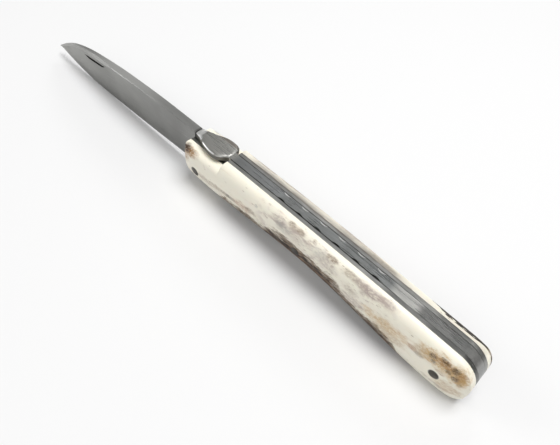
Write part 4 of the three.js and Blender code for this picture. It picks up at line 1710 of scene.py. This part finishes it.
    def build(self, shop: Workshop) -> Piece:
        """Makes the spring.

        Args:
            shop: The shared trees and groups.

        Returns:
            The spring.
        """
        spring, leaf = self.bar(), self.leaf()
        last = place(self.cut_last_x, 0, 0)
        crown = place(LINES.back_crown_x, 0, 0)
        shop.filework.apply(
            spring, Leaf=leaf, Count=self.cut_count, Last_Cut=(last.x, 0.0, 0.0), Pitch=self.cut_pitch * MM,
            Radius=self.cut_radius * MM, Depth=self.cut_depth * MM, Left_Tilt=math.radians(self.left_tilt),
            Right_Tilt=math.radians(self.right_tilt), Half_Width=self.half * MM,
            Back_Radius=LINES.back_radius * MM, Crown_X=crown.x, Crown_Z=crown.z,
            Finish=SPRING_STEEL.material(shop.groups))
        bpy.data.objects.remove(leaf)
        smooth_faces(spring, 13)
        self.mark(spring)
        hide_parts("spring_arm", "back_spring")
        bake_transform(spring)
        return spring


@dataclass
class HandleSide:
    """One liner with its antler scale, in mm."""

    side: Side
    antler: AntlerFinish
    steel: SteelFinish
    step: float = 0.9
    rows: int = 36
    bark_edge_rows: int = 5
    bark_end: float = 5.0
    bark_pin_gap: float = 0.2
    bark_pin_fade: float = 1.2
    polished_hollow: float = 0.12
    hollow: float = 0.16
    hollow_scale: float = 900.0
    hole_clearance: float = 0.05
    edge_break: float = 0.08

    def label(self) -> str:
        """Word for this side in the names of its nodes."""
        return self.side.name.lower()

    def drill(self, piece: Piece, shop: Workshop, finish: Material) -> None:
        """Drills the pin holes and gives the piece its material."""
        shop.drill.apply(piece, Seats=shop.seats, Length=20 * MM, Clearance=self.hole_clearance * MM,
                         Finish=finish)

    def liner(self, shop: Workshop) -> Piece:
        """Steel liner with broken edges and its pin holes."""
        stations = LINES.stations(1.5)
        outline = [(x, LINES.top(x)) for x in stations] + [(x, LINES.belly(x)) for x in reversed(stations)]
        faces = sorted((self.side.value * LINES.spring_half, self.side.value * LINES.strip_half))
        liner = plate(f"{self.label()}_liner_plate", outline, *faces)
        bevel_edges(liner, self.edge_break, 60)
        self.drill(liner, shop, self.steel.material(shop.groups))
        smooth_faces(liner, 20)
        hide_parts(f"{self.label()}_liner")
        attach(liner, Body.HANDLE.value)
        return liner

    def panel(self) -> Piece:
        """Flat panel with the scale's outline, which keeps how full it swells at each point."""
        stations = LINES.stations(self.step)
        points, shares, fullness, bark, worn = [], [], [], [], []
        for x in stations:
            low = LINES.belly(x)
            high = max(LINES.top(x), low + 0.5)
            for row in range(self.rows + 1):
                turn = math.pi * row / self.rows
                z = (high + low) / 2 + (high - low) / 2 * math.cos(turn)
                share = LINES.share(x, z)
                points.append(place(x, self.side.value * LINES.strip_half, z))
                shares.append(max(-1.0, min(share, 1.0)))
                fullness.append(LINES.thickness(x) / LINES.scale_thickness)
                worn.append(LINES.worn_inset(x, z) * MM)
                rim = min(row, self.rows - row) / self.bark_edge_rows
                near_end = min(x, LINES.length - x) / self.bark_end
                near_pin = min(math.hypot(x - pin.x, z + pin.depth) - pin.radius for pin in SHOWN_PINS)
                clear = ease((near_pin - self.bark_pin_gap) / self.bark_pin_fade)
                keep = ease(rim) * ease(near_end) * clear
                bark.append(keep * lerp(1.0, self.polished_hollow, ease((share + 0.45) / 0.5)))
        faces = []
        width = self.rows + 1
        for i in range(len(stations) - 1):
            for j in range(self.rows):
                a = i * width + j
                quad = (a, a + 1, a + 1 + width, a + width)
                faces.append(quad if self.side is Side.RIGHT else tuple(reversed(quad)))
        mesh = bpy.data.meshes.new("panel")
        mesh.from_pydata(points, [], faces)
        kept_values = {"scale_share": shares, "fullness": fullness, "bark_share": bark, "worn_inset": worn}
        for name, values in kept_values.items():
            store(mesh, name, values)
        return link_mesh(f"{self.label()}_antler_scale", mesh)

    def scale(self, shop: Workshop) -> Piece:
        """Antler scale with its swell, its bark hollows and its pin holes."""
        scale = self.panel()
        finish = self.antler.material(shop.groups)
        shop.swell.apply(scale, Side=float(self.side.value), Thickness=LINES.scale_thickness * MM,
                         Squareness=LINES.squareness, Hollow=self.hollow * MM, Hollow_Scale=self.hollow_scale,
                         Seed=self.antler.seed, Finish=finish)
        self.drill(scale, shop, finish)
        paint_share(scale, "scale_share", lambda x, y, z: LINES.share(x, z))
        paint_share(scale, "face_share", LINES.face_share)
        smooth_faces(scale, 38)
        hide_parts(f"{self.label()}_scale")
        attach(scale, Body.HANDLE.value)
        return scale

    def build(self, shop: Workshop) -> list[Piece]:
        """Makes the liner and the scale."""
        return [self.liner(shop), self.scale(shop)]


@dataclass
class Pins:
    """Pins ground flush with the antler, in mm."""

    proud: float = 0.05
    crown: float = 0.05
    edge_round: float = 0.08
    facets: int = 56
    rings: tuple = (1.0, 0.97, 0.8, 0.55, 0.3)

    def head(self, pin: PinSeat, side: int) -> list[list[Point]]:
        """Rings of a head that follows the face of the scale, from its edge to near its centre."""
        rows = []
        for share in self.rings:
            rise = self.proud + self.crown * (1 - share ** 2) - (self.edge_round if share == 1.0 else 0.0)
            row = []
            for i in range(self.facets):
                turn = 2 * math.pi * i / self.facets
                x = pin.x + pin.radius * share * math.cos(turn)
                z = -pin.depth + pin.radius * share * math.sin(turn)
                row.append((x, side * (LINES.face(x, z) + rise - self.crown), z))
            rows.append(row)
        return rows

    def flat(self, pin: PinSeat, y: float) -> list[Point]:
        """Ring of a flat end."""
        turns = [2 * math.pi * i / self.facets for i in range(self.facets)]
        return [(pin.x + pin.radius * math.cos(t), y, -pin.depth + pin.radius * math.sin(t)) for t in turns]

    def pin(self, name: str, pin: PinSeat, rings: list[list[Point]], node: str, finish: Material) -> Piece:
        """Makes one pin from its rings and lets it stand for its node."""
        made = loft(name, rings)
        made.data.materials.append(finish)
        smooth_faces(made, 30)
        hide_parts(node)
        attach(made, Body.HANDLE.value)
        return made

    def build(self, shop: Workshop) -> list[Piece]:
        """Makes the four pins that show.

        Args:
            shop: The shared trees and groups.

        Returns:
            The pins.
        """
        finish = PIN_STEEL.material(shop.groups)
        made = []
        for pin in (PIVOT, REAR):
            rings = list(reversed(self.head(pin, -1))) + self.head(pin, 1)
            made.append(self.pin(f"{pin.name}_flush", pin, rings, pin.name, finish))
        for side in Side:
            inner = self.flat(RIVET, side.value * LINES.spring_half)
            rings = [inner, *self.head(RIVET, side.value)]
            label = side.name.lower()
            made.append(self.pin(f"{label}_rivet_flush", RIVET, rings, f"{label}_scale_rivet", finish))
        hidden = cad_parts["spring_pin"]
        hidden.data.materials.clear()
        hidden.data.materials.append(finish)
        return made


# Studio


@dataclass(frozen=True)
class Lamp:
    """Square soft light, in metres."""

    name: str
    spot: Point
    size: float
    power: float
    colour: Colour = (1.0, 1.0, 1.0)


@dataclass
class Studio:
    """Floor, soft light and the camera at the photograph's viewpoint."""

    lens: float = 33.53
    camera_spot: Point = (0.0927, -0.09043, 0.14539)
    right: Point = (0.7161, 0.6888, 0.1133)
    down: Point = (0.5944, -0.5166, -0.6163)
    forward: Point = (-0.3660, 0.5087, -0.7793)
    floor_size: float = 3.0
    floor_white: float = 0.82
    floor_glow: float = 0.01
    sky: float = 0.27
    lamps: tuple[Lamp, ...] = (
        Lamp("key_softbox", (0.16, 0.14, 1.0), 0.55, 8.6),
        Lamp("front_softbox", (-0.92, -0.46, 0.52), 0.45, 1.8),
        Lamp("fill_softbox", (0.20, -0.70, 0.82), 0.8, 1.1),
        Lamp("rear_softbox", (-0.4, 0.86, 0.6), 0.3, 1.2),
    )

    def build(self) -> None:
        """Sets the stage."""
        self.floor()
        for lamp in self.lamps:
            self.light(lamp)
        self.world()
        self.camera()

    def floor(self) -> None:
        """Plain white floor that keeps the knife's shadow."""
        mesh = bpy.data.meshes.new("floor")
        half = self.floor_size / 2
        corners = [(-half, -half, 0), (half, -half, 0), (half, half, 0), (-half, half, 0)]
        mesh.from_pydata(corners, [], [(0, 1, 2, 3)])
        floor = link_mesh("studio_floor", mesh)
        made, wires, shader = new_material("floor_paper", (0.95, 0.95, 0.94))
        path = wires.node("ShaderNodeLightPath")
        rays = ("Is Camera Ray", "Is Glossy Ray", "Is Transmission Ray")
        seen = wires.largest(*(path.outputs[ray] for ray in rays))
        wires.fill(shader, Base_Color=(self.floor_white, self.floor_white, self.floor_white, 1),
                   Roughness=0.9, Specular_IOR_Level=0.0, Emission_Color=(1.0, 1.0, 0.995, 1),
                   Emission_Strength=wires.times(seen, self.floor_glow))
        floor.data.materials.append(made)

    def light(self, lamp: Lamp) -> None:
        """One soft lamp that looks at the knife."""
        data = bpy.data.lights.new(lamp.name, "AREA")
        data.shape, data.size, data.energy, data.color = "SQUARE", lamp.size, lamp.power, lamp.colour
        made = bpy.data.objects.new(lamp.name, data)
        made.location = lamp.spot
        made.rotation_mode = "QUATERNION"
        made.rotation_quaternion = (-Vector(lamp.spot)).to_track_quat("-Z", "Y")
        bpy.context.scene.collection.objects.link(made)

    def world(self) -> None:
        """Even pale surroundings."""
        world = bpy.data.worlds.new("studio_air")
        world.use_nodes = True
        shade = world.node_tree.nodes["Background"]
        shade.inputs["Color"].default_value = (1.0, 1.0, 1.0, 1)
        shade.inputs["Strength"].default_value = self.sky
        bpy.context.scene.world = world

    def camera(self) -> None:
        """Camera at the photograph's viewpoint."""
        data = bpy.data.cameras.new("photo_camera")
        data.lens, data.sensor_width, data.clip_start, data.clip_end = self.lens, 36.0, 0.01, 20.0
        made = bpy.data.objects.new("photo_camera", data)
        axes = Matrix((self.right, [-v for v in self.down], [-v for v in self.forward])).transposed()
        made.matrix_world = Matrix.Translation(self.camera_spot) @ axes.to_4x4()
        bpy.context.scene.collection.objects.link(made)
        bpy.context.scene.camera = made


def main() -> None:
    """Builds the studio and the knife, piece by piece."""
    logging.basicConfig(level=logging.INFO, format="%(name)s: %(message)s")
    bpy.context.scene.view_settings.view_transform = "Standard"
    Studio().build()
    shop = Workshop()
    pieces = [Blade().build(shop), BackSpring().build(shop)]
    for handle_side in (HandleSide(Side.LEFT, LEFT_ANTLER, LEFT_LINER_STEEL),
                        HandleSide(Side.RIGHT, RIGHT_ANTLER, RIGHT_LINER_STEEL)):
        pieces += handle_side.build(shop)
    pieces += Pins().build(shop)
    shop.clear()
    for piece in pieces:
        log.info("%s has %d faces", piece.name, len(piece.data.polygons))


if __name__ == "__main__":
    main()
